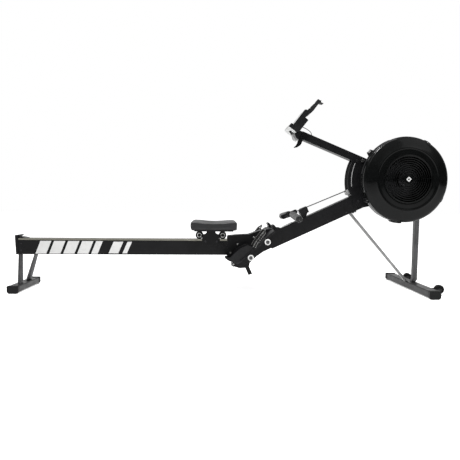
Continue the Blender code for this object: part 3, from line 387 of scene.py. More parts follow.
def dress(names, look, bevel=0.0008, segments=2):
    """Gives CAD nodes their finish and soft edges; their shape and place stay."""
    for name in names.split():
        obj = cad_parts[name]
        obj.data.materials.clear()
        obj.data.materials.append(LOOK[look])
        if "custom_normal" in obj.data.attributes:
            obj.data.attributes.remove(obj.data.attributes["custom_normal"])
        obj.data.shade_smooth()
        modifier(obj, "joined", "WELD", merge_threshold=0.00001)
        if bevel:
            soften(obj, bevel, segments)
        else:
            modifier(obj, "creases", "EDGE_SPLIT", split_angle=radians(32))


def piece(name, bm, look, body, slot=None, stands_for=(), bevel=0.0, segments=2, smooth=32.0):
    """A named object from a bmesh in world space, riding on a CAD body."""
    bmesh.ops.recalc_face_normals(bm, faces=bm.faces)
    mesh = bpy.data.meshes.new(name)
    bm.to_mesh(mesh)
    bm.free()
    mesh.shade_smooth()
    mesh.set_sharp_from_angle(angle=radians(smooth))
    mesh.materials.append(LOOK[look])
    obj = bpy.data.objects.new(name, mesh)
    scene.collection.objects.link(obj)
    soften(obj, bevel, segments)
    if body:
        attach(obj, body)
    if stands_for:
        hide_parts(*stands_for)
    return obj


def bridge(bm, ring_a, ring_b):
    for i in range(len(ring_a)):
        j = (i + 1) % len(ring_a)
        bm.faces.new((ring_a[i], ring_a[j], ring_b[j], ring_b[i]))


def add_loft(bm, rings, closed=False):
    """A tube of faces through rings of points, with flat caps unless it closes on itself."""
    loops = [[bm.verts.new(p) for p in ring] for ring in rings]
    for a, b in zip(loops, loops[1:]):
        bridge(bm, a, b)
    if closed:
        bridge(bm, loops[-1], loops[0])
    else:
        bm.faces.new(loops[0])
        bm.faces.new(loops[-1])
    return loops


def add_prism(bm, outline, y0, y1):
    add_loft(bm, [[(x, y, z) for x, z in outline] for y in (y0, y1)])


def add_turned(bm, profile, centre, segments):
    """A closed (radius, y) profile turned round the Y axis through centre."""
    columns = []
    for radius, y in profile:
        if radius < 1e-9:
            columns.append([bm.verts.new((centre[0], y, centre[2]))] * segments)
            continue
        columns.append([bm.verts.new((centre[0] + radius * cos(2 * pi * i / segments), y,
                                      centre[2] + radius * sin(2 * pi * i / segments)))
                        for i in range(segments)])
    for a, b in zip(columns, columns[1:] + columns[:1]):
        for i in range(segments):
            j = (i + 1) % segments
            corners = list(dict.fromkeys((a[i], a[j], b[j], b[i])))
            if len(corners) > 2:
                bm.faces.new(corners)


def rounded(profile, times=2, share=0.22):
    """Cuts the corners of a closed profile, so that it turns smoothly."""
    for _ in range(times):
        cut = []
        for (ra, ya), (rb, yb) in zip(profile, profile[1:] + profile[:1]):
            if ra < 1e-9 and rb < 1e-9:
                cut += [(ra, ya)]
                continue
            cut.append((ra + (rb - ra) * share, ya + (yb - ya) * share))
            cut.append((rb + (ra - rb) * share, yb + (ya - yb) * share))
        profile = cut
    return profile


def on_side(profile, side):
    """The (radius, y) profile on the near (-1) or the far (1) side."""
    return [(radius, side * y) for radius, y in profile]


def turned(name, profile, centre, look, body, segments=64, **more):
    bm = bmesh.new()
    add_turned(bm, profile, centre, segments)
    return piece(name, bm, look, body, **more)


def prism(name, outline, spans, look, body, slot=None, **more):
    """An (x, z) outline drawn out over each y span, all one piece."""
    bm = bmesh.new()
    for y0, y1 in spans:
        add_prism(bm, outline, y0, y1)
    return piece(name, bm, look, body, slot, **more)


def circle(centre, axis, radius, segments):
    side = axis.orthogonal().normalized()
    up = axis.cross(side)
    return [centre + (side * cos(2 * pi * i / segments) + up * sin(2 * pi * i / segments)) * radius
            for i in range(segments)]


def add_rod(bm, a, b, radius, segments=16, rim=0.0):
    """A round bar from a to b; rim bevels its two ends."""
    axis = (b - a).normalized()
    length = (b - a).length
    stations = [(0.0, radius), (length, radius)]
    if rim:
        stations = [(0.0, radius - rim), (rim, radius), (length - rim, radius),
                    (length, radius - rim)]
    add_loft(bm, [circle(a + axis * s, axis, r, segments) for s, r in stations])


def add_pin(bm, x, z, y0, y1, radius, segments, rim=0.0):
    """A round bar from y0 to y1 across the machine."""
    add_rod(bm, Vector((x, y0, z)), Vector((x, y1, z)), radius, segments, rim)


def add_box(bm, centre, axes, half):
    """A box whose three unit axes and half sizes are given."""
    c = Vector(centre)
    a, b, n = (Vector(v) * h for v, h in zip(axes, half))
    add_loft(bm, [[c - a - b + n * s, c + a - b + n * s, c + a + b + n * s, c - a + b + n * s]
                  for s in (-1, 1)])


def boxes(axes, half, centres, bm=None):
    """Equal boxes on shared axes, in a new mesh or added to bm."""
    bm = bm or bmesh.new()
    for centre in centres:
        add_box(bm, centre, axes, half)
    return bm


def side_bolts(name, spots, y, length, look, slot, segments=20, rim=0.0008):
    """Round heads at (x, z, radius) spots on both flanks of the frame."""
    bm = bmesh.new()
    for _, side in SIDES:
        for x, z, radius in spots:
            add_pin(bm, x, z, side * y, side * (y + length), radius, segments, rim)
    piece(name, bm, look, "frame", slot)


def catmull_rom(points, per_span):
    padded = [points[0] * 2 - points[1]] + points + [points[-1] * 2 - points[-2]]
    result = []
    for a, b, c, d in zip(padded, padded[1:], padded[2:], padded[3:]):
        for k in range(per_span):
            t = k / per_span
            result.append(0.5 * (2 * b + (c - a) * t + (2 * a - 5 * b + 4 * c - d) * t * t
                                 + (3 * b - a - 3 * c + d) * t ** 3))
    result.append(points[-1])
    return result


def heading(points, k):
    """The unit direction of a route at its point k."""
    return (points[min(k + 1, len(points) - 1)] - points[max(k - 1, 0)]).normalized()


def add_torus(bm, centre, radius, section, segments, around=8, flat=1.0):
    rings = []
    for i in range(segments):
        out = spoke(2 * pi * i / segments)
        rings.append([centre + out * (radius + section * cos(2 * pi * k / around))
                      + Vector((0.0, section * flat * sin(2 * pi * k / around), 0.0))
                      for k in range(around)])
    add_loft(bm, rings, closed=True)


# ---- monitor's sensor lead -------------------------------------------------------------
def build_cable():
    path = catmull_rom([Vector(p) for p in CABLE_ROUTE], 3)
    rings = []
    for k, point in enumerate(path):
        up = ACROSS.cross(heading(path, k))
        rings.append([point + (ACROSS * cos(2 * pi * i / 12) + up * sin(2 * pi * i / 12))
                      * (CABLE_DIAMETER / 2) for i in range(12)])
    bm = bmesh.new()
    add_loft(bm, rings)
    cable = piece("sensor_lead", bm, "cord", None, "rubber", ("monitor_cable",))
    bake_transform(cable)


build_camera()
build_cable()


# ---- rail and feet ------------------------------------------------------------------------
def build_rail():
    dress("rail", "paint", 0.0010)
    dress("stainless_track", "track", 0.0006)
    dress("rail_end_stop", "paint", 0.0010)
    dress("rear_foot_near rear_foot_far front_foot_near front_foot_far", "plastic", 0.0030, 3)
    dress("rear_crossbar front_crossbar", "bar", 0.0008)
    dress("rear_leg_near rear_leg_far", "grey", 0.0)
    dress("front_post", "grey", 0.0016, 3)
    dress("front_strut", "strut", 0.0016, 3)

    tall, short, slope = (0.2090, 0.2830), (0.2120, 0.2800), 0.030
    stripes = [(-1.108, -1.046, tall), (-1.030, -0.966, tall), (-0.950, -0.886, tall),
               (-0.870, -0.806, tall), (-0.790, -0.752, tall), (-0.690, -0.634, short),
               (-0.610, -0.584, short)]
    film = flanks(RAIL_HALF + 0.00005, RAIL_HALF + 0.00025)
    for (word, _), (y0, y1) in zip(SIDES, film):
        bm = bmesh.new()
        for x0, x1, (z0, z1) in stripes:
            add_prism(bm, [(x0, z0), (x1, z0), (x1 + slope, z1), (x0 + slope, z1)], y0, y1)
        piece(f"rail_stripes_{word}", bm, "decal", "frame")

    prism("seat_stop_blocks", [(-0.051, 0.252), (-0.027, 0.252), (-0.024, 0.2635),
                               (-0.027, 0.275), (-0.051, 0.275)],
          flanks(RAIL_HALF + 0.0002, 0.0345), "plastic", "frame", bevel=0.0010)
    prism("track_end_wedge", [(-1.195, 0.3065), (-1.160, 0.3005), (-1.160, TRACK_TOP),
                              (-1.200, TRACK_TOP)],
          [(-0.0240, 0.0240)], "bar", "frame", "steel", bevel=0.0005)
    side_bolts("rail_end_screws", [(-1.188, z, 0.0042) for z in (0.228, 0.268)], 0.0270,
               0.0026, "iron", "dark_steel")

    bm = bmesh.new()
    for x, reach in ((-1.186, 0.142), (1.113, 0.288)):
        for _, side in SIDES:
            for ear in (-1, 1):
                centre = Vector((x + ear * 0.020, side * reach, 0.0010))
                add_rod(bm, centre, centre + Vector((0, 0, 0.0040)), 0.0060, 20, 0.0008)
    piece("foot_pads", bm, "rubber", "frame", "rubber")


def wheel(name, node, centre, y, radius, body, hub_look):
    """A tyred wheel on a pressed hub, standing for its plain CAD solid."""
    half = 0.0135
    tyre = rounded([(radius * 0.60, -half + 0.003), (radius * 0.80, -half + 0.0012),
                    (radius * 0.95, -half + 0.0016), (radius, -half + 0.0050),
                    (radius, half - 0.0050), (radius * 0.95, half - 0.0016),
                    (radius * 0.80, half - 0.0012), (radius * 0.60, half - 0.003)], 2)
    turned(name + "_tyre", [(r, y + dy) for r, dy in tyre], centre, "rubber", body, 64,
           slot="rubber", stands_for=(node,))
    bm = bmesh.new()
    hub = rounded([(0.0045, -half), (0.0085, -half), (0.0100, -half + 0.0020),
                   (radius * 0.56, -half + 0.0045), (radius * 0.62, -half + 0.0025),
                   (radius * 0.62, half - 0.0025), (radius * 0.56, half - 0.0045),
                   (0.0100, half - 0.0020), (0.0085, half), (0.0045, half)], 1)
    add_turned(bm, [(r, y + dy) for r, dy in hub], centre, 48)
    for k in range(5):
        axes = spoke_axes(2 * pi * k / 5)
        add_box(bm, centre + axes[0] * radius * 0.40 + ACROSS * y, axes,
                (radius * 0.16, half - 0.0022, 0.0011))
    piece(name + "_hub", bm, hub_look, body, "silver_plastic")


def build_wheels():
    for word, side in SIDES:
        wheel(f"wheel_{word}", f"transport_wheel_{word}", Vector((1.1850, 0.0, 0.0365)),
              side * 0.195, 0.0258, f"wheel_{word}", "plastic")


# ---- seat -------------------------------------------------------------------------------
SEAT_MIDDLE = Vector((-0.078, 0.0, 0.382))
SEAT_X0, SEAT_X1, SEAT_HALF = -0.2095, 0.0520, 0.1475
SEAT_UNDER, SEAT_FIRM = 0.3600, 0.3680      # the pad's underside, and where it stops swelling
SEAT_FLOOR = 0.3587                         # the lowest that the swelling may reach
SEAT_CAP = 0.0016                           # how far the swelling may move the skin
SEAT_VOXEL, SEAT_PRESSURE, SEAT_FRAMES = 0.0036, 4.0, 20


def seat_height(x, y):
    """The seat's top surface: a saddle dip along X and two hollows across Y."""
    t = (x + 0.2045) / 0.2515
    dip = 0.4022 - 0.0062 * sin(pi * min(1.0, max(0.0, t * 1.02))) ** 2 + 0.0014 * (1 - t)
    hollow = 0.0
    for _, side in SIDES:
        hollow += 0.0052 * np.exp(-((x + 0.105) / 0.050) ** 2 - ((y - side * 0.062) / 0.040) ** 2)
    slot = 0.0040 * np.exp(-((y) / 0.013) ** 2) * (1.0 if x < -0.09 else
                                                  np.exp(-((x + 0.09) / 0.03) ** 2))
    return dip - hollow - slot


def build_seat_pad():
    x0, x1, half = SEAT_X0, SEAT_X1, SEAT_HALF
    columns, rows = 46, 54
    bm = bmesh.new()

    def grid(top):
        verts = []
        for j in range(rows + 1):
            y = -half + 2 * half * j / rows
            line = []
            for i in range(columns + 1):
                x = x0 + (x1 - x0) * i / columns
                squeeze = 1.0 - 0.012 * (abs(y) / half) ** 4
                px = SEAT_MIDDLE.x + (x - SEAT_MIDDLE.x) * squeeze
                pinch = 1.0 - 0.02 * (abs(x - SEAT_MIDDLE.x) / 0.123) ** 4
                z = SEAT_UNDER
                if top:
                    near_x = min(x - x0, x1 - x) / 0.005
                    near_y = (half - abs(y)) / 0.006
                    fall = 0.0022 * max(0.0, 1.0 - min(1.0, near_x)) ** 2
                    fall += 0.0022 * max(0.0, 1.0 - min(1.0, near_y)) ** 2
                    z = seat_height(x, y) - fall
                line.append(bm.verts.new((px, y * pinch, z)))
            verts.append(line)
        return verts

    top, bottom = grid(True), grid(False)
    for j in range(rows):
        for i in range(columns):
            bm.faces.new((top[j][i], top[j][i + 1], top[j + 1][i + 1], top[j + 1][i]))
            bm.faces.new((bottom[j][i], bottom[j + 1][i], bottom[j + 1][i + 1], bottom[j][i + 1]))
    for j in range(rows):
        for i in (0, columns):
            bm.faces.new((top[j][i], top[j + 1][i], bottom[j + 1][i], bottom[j][i]))
    for i in range(columns):
        for j in (0, rows):
            bm.faces.new((top[j][i], top[j][i + 1], bottom[j][i + 1], bottom[j][i]))
    for z in (0.3625, 0.3700, 0.3850, 0.3915):
        bmesh.ops.bisect_plane(bm, geom=bm.verts[:] + bm.edges[:] + bm.faces[:],
                               plane_co=(0.0, 0.0, z), plane_no=(0.0, 0.0, 1.0))
    pad = piece("seat_pad", bm, "seat", None, "seat_foam")
    inflate(pad)
    modifier(pad, "smooth", "SUBSURF", levels=1, render_levels=1)
    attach(pad, "seat")
    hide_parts("seat_cushion")


def inflate(pad):
    """Lets the foam swell under its skin for a moment, then holds it near its mould."""
    modifier(pad, "voxels", "REMESH", mode="VOXEL", voxel_size=SEAT_VOXEL)
    apply_modifiers(pad)
    start = [v.co.copy() for v in pad.data.vertices]
    settings = pad.modifiers.new("swell", "CLOTH").settings
    settings.quality = 6
    settings.tension_stiffness = settings.compression_stiffness = 60.0
    settings.bending_stiffness = 8.0
    settings.use_pressure = True
    settings.uniform_pressure_force = SEAT_PRESSURE
    settings.effector_weights.gravity = 0.0
    for number in range(1, SEAT_FRAMES + 1):
        scene.frame_set(number)
    apply_modifiers(pad)
    scene.frame_set(1)
    for vert, old in zip(pad.data.vertices, start):
        move = vert.co - old
        if move.length > SEAT_CAP:
            vert.co = old + move.normalized() * SEAT_CAP
        if old.z < SEAT_FIRM:
            share = (old.z - SEAT_UNDER) / (SEAT_FIRM - SEAT_UNDER)
            vert.co.z = max(SEAT_FLOOR, old.z + (vert.co.z - old.z) * max(0.0, share))


def apply_modifiers(obj):
    depsgraph = bpy.context.evaluated_depsgraph_get()
    mesh = bpy.data.meshes.new_from_object(obj.evaluated_get(depsgraph))
    obj.modifiers.clear()
    obj.data = mesh
    mesh.shade_smooth()


def build_seat():
    build_seat_pad()
    dress("seat_carriage", "paint", 0.0008)
    prism("seat_shell", [(-0.1995, 0.3560), (0.0405, 0.3560), (0.0435, 0.3592),
                         (0.0435, 0.3620), (-0.2015, 0.3620), (-0.2015, 0.3592)],
          [(-0.1440, 0.1440)], "plastic", "seat", "black_plastic", bevel=0.0012)
    bm = bmesh.new()
    for x in (-0.170, 0.012):
        for y in (-0.085, 0.085):
            add_rod(bm, Vector((x, y, 0.3462)), Vector((x, y, 0.3482)), 0.0055, 18, 0.0008)
    for _, side in SIDES:
        for x in (-0.128, -0.062):
            add_pin(bm, x, 0.2850, side * 0.0320, side * 0.0345, 0.0060, 18, 0.0008)
    piece("carriage_screws", bm, "iron", "seat", "dark_steel")
    r, y0, y1 = ROLLER_RADIUS, 0.0062, 0.0260
    tyre = rounded([(0.0142, y0 + 0.0015), (r - 0.0022, y0), (r, y0 + 0.0032), (r, y1 - 0.0032),
                    (r - 0.0022, y1), (0.0142, y1 - 0.0015)], 2)
    hub = rounded([(0.0044, y0 + 0.0005), (0.0140, y0 + 0.0010), (0.0140, y1 - 0.0006),
                   (0.0100, y1 - 0.0012), (0.0062, y1 - 0.0012), (0.0055, y1), (0.0044, y1)], 1)
    ring = rounded([(0.0102, y1 - 0.0030), (0.0128, y1 - 0.0030), (0.0128, y1 + 0.0003),
                    (0.0102, y1 + 0.0003)], 1)
    for end, x in ROLLERS.items():
        for word, side in SIDES:
            body = f"roller_{end}_{word}"
            for part, profile, look, slot, segments, nodes in (
                    ("tyre", tyre, "tyre", "rubber", 56, (f"seat_{body}",)),
                    ("hub", hub, "plastic", "black_plastic", 48, ()),
                    ("ring", ring, "washer", "silver_plastic", 48, ())):
                turned(f"{body}_{part}", on_side(profile, side), Vector((x, 0.0, ROLLER_Z)),
                       look, body, segments, slot=slot, stands_for=nodes)


# ---- footrests -------------------------------------------------------------------------------
STRAP_PATH = [(-0.142, 0.004, 0.1702), (-0.116, 0.014, 0.1710), (-0.080, 0.022, 0.1710),
              (-0.044, 0.029, 0.1670), (-0.028, 0.034, 0.1520), (-0.023, 0.037, 0.1300),
              (-0.022, 0.038, 0.1100), (-0.023, 0.037, 0.0900), (-0.028, 0.034, 0.0680),
              (-0.044, 0.029, 0.0530), (-0.080, 0.022, 0.0490), (-0.116, 0.014, 0.0490),
              (-0.142, 0.004, 0.0498)]
STRAP_HALF, STRAP_THICK = 0.0092, 0.0019
FOOT_Y = 0.110                              # the middle of a footrest


def strap_stations(side):
    points = catmull_rom([foot_point(t, n, side * y) for t, n, y in STRAP_PATH], 6)
    lean = (foot_point(-0.030, 0.032, 0) - foot_point(-0.150, -0.004, 0)).normalized()
    upright = Vector((-lean.z, 0.0, lean.x))
    stations = []
    for k, point in enumerate(points):
        forward = heading(points, k)
        share = abs(forward.y)
        width = upright * (1 - share) + lean * share
        width = (width - forward * width.dot(forward)).normalized()
        stations.append((point, width, forward.cross(width).normalized()))
    return stations


def build_strap(word, side):
    """A woven band with slightly thicker selvedges, over the foot and down both sides."""
    stations = strap_stations(side)
    across = [(-1.0, 0.30), (-0.93, 0.50), (-0.78, 0.50), (-0.70, 0.40), (-0.35, 0.40),
              (0.0, 0.44), (0.35, 0.40), (0.70, 0.40), (0.78, 0.50), (0.93, 0.50), (1.0, 0.30)]
    band = across + [(a, -h) for a, h in reversed(across)]
    bm = bmesh.new()
    rings, runs, run = [], [], 0.0
    for k, (point, width, up) in enumerate(stations):
        if k:
            run += (point - stations[k - 1][0]).length
        rings.append([point + width * a * STRAP_HALF + up * h * STRAP_THICK for a, h in band])
        runs.append(run)
    add_loft(bm, rings)
    sides = [a * STRAP_HALF for a, _ in band]
    strap = piece(f"strap_{word}", bm, "strap", None, "webbing", (f"foot_strap_{word}",))
    for name, values in (("run", [r for r in runs for _ in sides]), ("side", sides * len(runs))):
        attribute = strap.data.attributes.new(name, "FLOAT", "POINT")
        attribute.data.foreach_set("value", values)
    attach(strap, "frame")

    point, width, up = stations[int(len(stations) * 0.16)]
    forward = width.cross(up)
    bm = bmesh.new()
    for a in (-1, 0.1, 1):
        add_box(bm, point + forward * a * 0.0125, (width, forward, up), (0.0125, 0.0016, 0.0022))
    for a in (-1, 1):
        add_box(bm, point + width * a * 0.0118, (width, forward, up), (0.0014, 0.0140, 0.0020))
    piece(f"strap_buckle_{word}", bm, "plastic", "frame", "black_plastic", bevel=0.0006)


def build_footrest(word, side):
    dress(f"foot_plate_{word}", "plastic", 0.0016, 3)
    dress(f"heel_cup_{word}", "rib", 0.0012, 3)
    axes = slant_axes(FOOT_ANGLE)
    bars = boxes(axes, (0.046, 0.0022, 0.0012),
                 [foot_point(-0.0550 + 0.0125 * k, 0.0003, side * FOOT_Y) for k in range(5)])
    tread = boxes(axes, (0.0022, 0.0345, 0.0014),
                  [foot_point(-0.0230, 0.0003, side * y) for y in (0.0575, 0.1625)], bars)
    piece(f"foot_tread_{word}", tread, "rib", "frame", "black_plastic", bevel=0.0005)
    tread = boxes(axes, (0.034, 0.0016, 0.0010),
                  [foot_point(-0.262 + 0.0155 * k, 0.0040, side * FOOT_Y) for k in range(7)])
    piece(f"heel_tread_{word}", tread, "plastic", f"heel_{word}", "black_plastic", bevel=0.0004)
    ribs = boxes(axes, (0.0040, 0.0022, 0.0080),
                 [foot_point(-0.2965, 0.0440, side * y) for y in (0.080, 0.140)])
    piece(f"heel_ribs_{word}", ribs, "rib", f"heel_{word}", "black_plastic", bevel=0.0008)


def build_junction():
    dress("junction_housing", "paint", 0.0008)
    dress("foot_rod_upper foot_rod_lower", "iron", 0.0006)
    dress("frame_lock_lever", "plastic", 0.0016, 3)
    washer = rounded([(0.0100, 0.1776), (0.0156, 0.1776), (0.0171, 0.1761), (0.0171, 0.1728),
                      (0.0100, 0.1728)], 1)
    bolt = [(0.0, 0.1812), (0.0052, 0.1812), (0.0060, 0.1795), (0.0084, 0.1795),
            (0.0098, 0.1770), (0.0098, 0.1750), (0.0, 0.1750)]
    for name, (x, z) in RODS.items():
        for word, side in SIDES:
            for part, profile, look, slot, segments in (
                    ("washer", washer, "washer", "silver_plastic", 56),
                    ("bolt", bolt, "grey", "steel", 32)):
                turned(f"rod_{part}_{name}_{word}", on_side(profile, side), Vector((x, 0.0, z)),
                       look, "frame", segments, slot=slot)
    side_bolts("junction_bolts", ((0.1545, 0.3105, 0.0048), (0.060, 0.2700, 0.0052),
                                  (0.020, 0.2200, 0.0046), (0.1000, 0.2450, 0.0052)),
               0.0318, 0.0027, "steel", "steel", rim=0.0010)
    caster = rounded([(0.0040, -0.0262), (0.0120, -0.0262), (0.0155, -0.0262), (0.0170, -0.0242),
                      (0.0170, 0.0242), (0.0155, 0.0262), (0.0120, 0.0262), (0.0040, 0.0262)], 1)
    turned("caster_roller", caster, Vector((0.0375, 0.0, 0.1500)), "silver", "caster", 48,
           slot="silver_plastic", stands_for=("frame_caster",))
    bm = bmesh.new()
    add_pin(bm, 0.0375, 0.1500, -0.0340, 0.0340, 0.0040, 20, 0.0006)
    piece("caster_pin", bm, "steel", "caster", "steel")


# ---- frame, beam and head ----------------------------------------------------------------------
def build_frame():
    dress("main_beam monitor_arm", "paint", 0.0030, 3)
    dress("head_plate_near head_plate_far", "paint", 0.0006)
    dress("bearing_near bearing_far", "steel", 0.0006)
    dress("drive_shroud", "matt", 0.0003)
    dress("arm_pivot_pin flywheel_axle", "steel", 0.0012)
    dress("chain_sprocket chain_return", "chain", 0.0)
    dress("shock_cord", "cord", 0.0)
    dress("damper_lever", "plastic", 0.0003)
    dress("chain_fairlead", "light", 0.0010)
    dress("handle_cradle", "plastic", 0.0010)
    surface = BEAM_DEPTH / 2

    strip = boxes(slant_axes(BEAM_ANGLE), (0.0190, 0.042, 0.0016),
                  [along(BEAM_REF, BEAM_ANGLE, -0.130, surface + 0.0016)])
    piece("beam_strip", strip, "silver", "frame", "silver_plastic", bevel=0.0008)

    bm = bmesh.new()
    for s in (0.262, 0.276):
        ear = [(s + along_beam, above - surface) for along_beam, above in
               ((-0.0050, 0.001), (0.0050, 0.001), (0.0040, -0.0090), (-0.0040, -0.0090))]
        add_prism(bm, slanted(BEAM_REF, BEAM_ANGLE, ear), -0.0125, 0.0125)
    piece("strut_lug", bm, "paint", "frame", "black_paint", bevel=0.0010)

    side_bolts("head_bolts", [(x, z, 0.0062) for x, z in
                              ((0.770, 0.5250), (0.757, 0.7600), (0.845, 0.5150),
                               (1.1355, 0.475), (1.1355, 0.540), (0.8300, 0.7480))],
               0.0318, 0.0030, "iron", "dark_steel", 24, 0.0010)
    rivets = slanted(BEAM_REF, BEAM_ANGLE, [(s, -0.030) for s in (-0.19, -0.06, 0.10, 0.22)])
    side_bolts("beam_rivets", [(x, z, 0.0034) for x, z in rivets], 0.0272, 0.0014, "iron",
               "dark_steel", 18, 0.0004)

    # a thin light-grey arc strip on each flank along the shroud's front edge: a painted highlight
    # standing for the shine on that bevelled edge
    outer = [arc_point(0.2655, d) for d in range(158, 190, 2)]
    inner = [arc_point(0.2612, d) for d in range(188, 156, -2)]
    prism("shroud_painted_highlight", outer + inner, flanks(0.0318, 0.0332), "light", "frame",
          "silver_plastic")

    first, step = HANDLE_REACH - 0.09125, 0.0075
    ribs = boxes(slant_axes(CHAIN_ANGLE), (0.0010, 0.0018, 0.0120),
                 [chain_point(first + step * k, -0.0110, side * 0.0222)
                  for _, side in SIDES for k in range(6)])
    piece("cradle_ribs", ribs, "rib", "frame", "black_plastic", bevel=0.0004)


# ---- fan ---------------------------------------------------------------------------------------
def build_fan():
    rim = FAN_RADIUS
    near = [(rim - 0.0006, FAN_SPLIT - 0.0010), (rim, -0.1600), (rim, -0.1632),
            (rim - 0.0014, -0.1664), (rim - 0.0030, -0.1686), (rim - 0.0042, -0.1684),
            (rim - 0.0054, -0.1694), (rim - 0.0074, -0.1726), (rim - 0.0112, -0.1752),
            (rim - 0.0150, -0.1768), (0.2150, -0.1804), (0.2000, -0.1861), (0.1860, -0.1914),
            (0.1795, -0.1942), (0.1745, -0.1970), (0.1700, -0.1976), (0.1668, -0.1960),
            (0.1640, -0.1950), (0.1500, -0.1964), (0.1380, -0.1978), (0.1330, -0.1974),
            (0.1325, -0.1948), (0.1640, -0.1918), (0.1830, -0.1890), (rim - 0.0160, -0.1737),
            (rim - 0.0065, -0.1672), (rim - 0.0032, -0.1620), (rim - 0.0032, FAN_SPLIT - 0.0010)]
    turned("fan_front_shell", rounded(near, 1), AXLE, "gloss", "frame", 144,
           slot="gloss_plastic", stands_for=("fan_cover_near",), smooth=38.0)

    wall = rim - 0.0022
    back = [(wall, FAN_SPLIT), (wall, -0.1100), (wall - 0.0012, -0.1050), (wall - 0.006, -0.0980),
            (0.2180, -0.0870), (0.206, -0.0760), (0.1900, -0.0695), (0.1780, -0.0640),
            (0.150, -0.0520), (0.1300, -0.0490), (0.060, -0.0440), (0.060, -0.0470),
            (0.1295, -0.0520), (0.149, -0.0550), (0.204, -0.0787), (wall - 0.0085, -0.1005),
            (wall - 0.0030, -0.1070), (wall - 0.0030, FAN_SPLIT)]
    bm = bmesh.new()
    add_turned(bm, rounded(back, 1), AXLE, 144)
    for degrees in (135, 225, 315):
        add_pin(bm, *arc_point(0.085, degrees), -0.0480, -0.0323, 0.008, 24, 0.0006)
    piece("fan_back_shell", bm, "gloss", "frame", "gloss_plastic", ("fan_cover_back",),
          smooth=38.0)

    bm = bmesh.new()
    for degrees, spread in ((60, 6.0), (209, 3.5), (260, 8.0), (333, 4.5)):
        block = [arc_point(r, degrees + t * spread) for r, t in
                 ((wall - 0.0020, -1.0), (rim + 0.0068, -0.85), (rim + 0.0080, -0.4),
                  (rim + 0.0083, 0.0), (rim + 0.0080, 0.4), (rim + 0.0068, 0.85),
                  (wall - 0.0020, 1.0), (wall - 0.0020, 0.4), (wall - 0.0020, -0.4))]
        add_prism(bm, block, -0.1530, -0.1180)
    piece("fan_lugs", bm, "plastic", "frame", "black_plastic", bevel=0.0010)
    bm = bmesh.new()
    for degrees in (60, 209, 260, 333):
        add_pin(bm, *arc_point(rim + 0.0030, degrees), -0.1545, -0.1525, 0.0028, 18, 0.0005)
    piece("fan_lug_screws", bm, "steel", "frame", "steel")

    bm = bmesh.new()
    for y in (-0.1420, -0.1130):
        add_torus(bm, AXLE + ACROSS * y, wall, 0.0012, 144)
    piece("drum_beads", bm, "gloss", "frame", "gloss_plastic")

    tab = [arc_point(rim + r, d) for r, d in ((0.0100, 140.0), (0.0202, 140.3),
                                              (0.0202, 143.7), (0.0100, 144.0))]
    prism("damper_grip", tab, [(-0.1375, -0.1205)], "light", "damper", "silver_plastic",
          bevel=0.0012)

    build_grille()
    build_blades()


def build_grille():
    """Thin rings on six spokes round a hub with a plain white diamond."""
    bm = bmesh.new()
    for radius in np.linspace(0.0350, 0.1265, 9):
        add_torus(bm, AXLE - ACROSS * 0.2006, radius, 0.0021, 112, flat=0.9)
    add_torus(bm, AXLE - ACROSS * 0.1995, 0.1302, 0.0026, 128, flat=1.1)
    for k in range(6):
        axes = spoke_axes(radians(3 + 60 * k))
        add_box(bm, AXLE + axes[0] * 0.0785 - ACROSS * 0.1993, axes, (0.0525, 0.0014, 0.0019))
    add_turned(bm, [(0.0, -0.1990), (0.0270, -0.1990), (0.0290, -0.2004), (0.0284, -0.2022),
                    (0.0262, -0.2030), (0.0230, -0.2026), (0.0, -0.2026)], AXLE, 64)
    piece("grille_rings", bm, "gloss", "frame", "gloss_plastic", ("fan_grille",))
    bm = bmesh.new()
    half, hole = 0.0145, 0.0145 * 0.45
    for flip in (1, -1):
        outline = [(AXLE.x + flip * u, AXLE.z + v) for u, v in
                   ((0.0, half), (half, 0.0), (0.0, -half), (0.0, -hole), (hole, 0.0),
                    (0.0, hole))]
        add_prism(bm, outline, -0.2030, -0.2024)
    piece("hub_mark", bm, "decal", "frame")


def build_blades():
    """The fan: a steel disc with forty-five swept blades between a hub and a rim band."""
    bm = bmesh.new()
    disc = [(0.0103, -0.0900), (0.2000, -0.0900), (0.2000, -0.0950), (0.0400, -0.0960),
            (0.0340, -0.1000), (0.0340, -0.1500), (0.0300, -0.1520), (0.0103, -0.1520)]
    add_turned(bm, disc, AXLE, 96)
    add_turned(bm, [(0.1960, -0.1500), (0.1985, -0.1500), (0.1985, -0.0940), (0.1960, -0.0940)],
               AXLE, 96)
    count, steps, sweep, thickness = 45, 6, 0.16, 0.0012
    for k in range(count):
        rings = []
        for i in range(steps + 1):
            t = i / steps
            radius = 0.1000 + 0.0970 * t
            out = spoke(2 * pi * k / count + sweep * t * t)
            side = out.cross(ACROSS) * thickness / 2
            edge = -0.1480 + 0.010 * (1 - t)
            rings.append([AXLE + out * radius + side * turn + ACROSS * y
                          for turn, y in ((1, -0.0940), (-1, -0.0940), (-1, edge), (1, edge))])
        add_loft(bm, rings)
    piece("fan_blades", bm, "iron", "flywheel", "dark_steel", ("flywheel",))


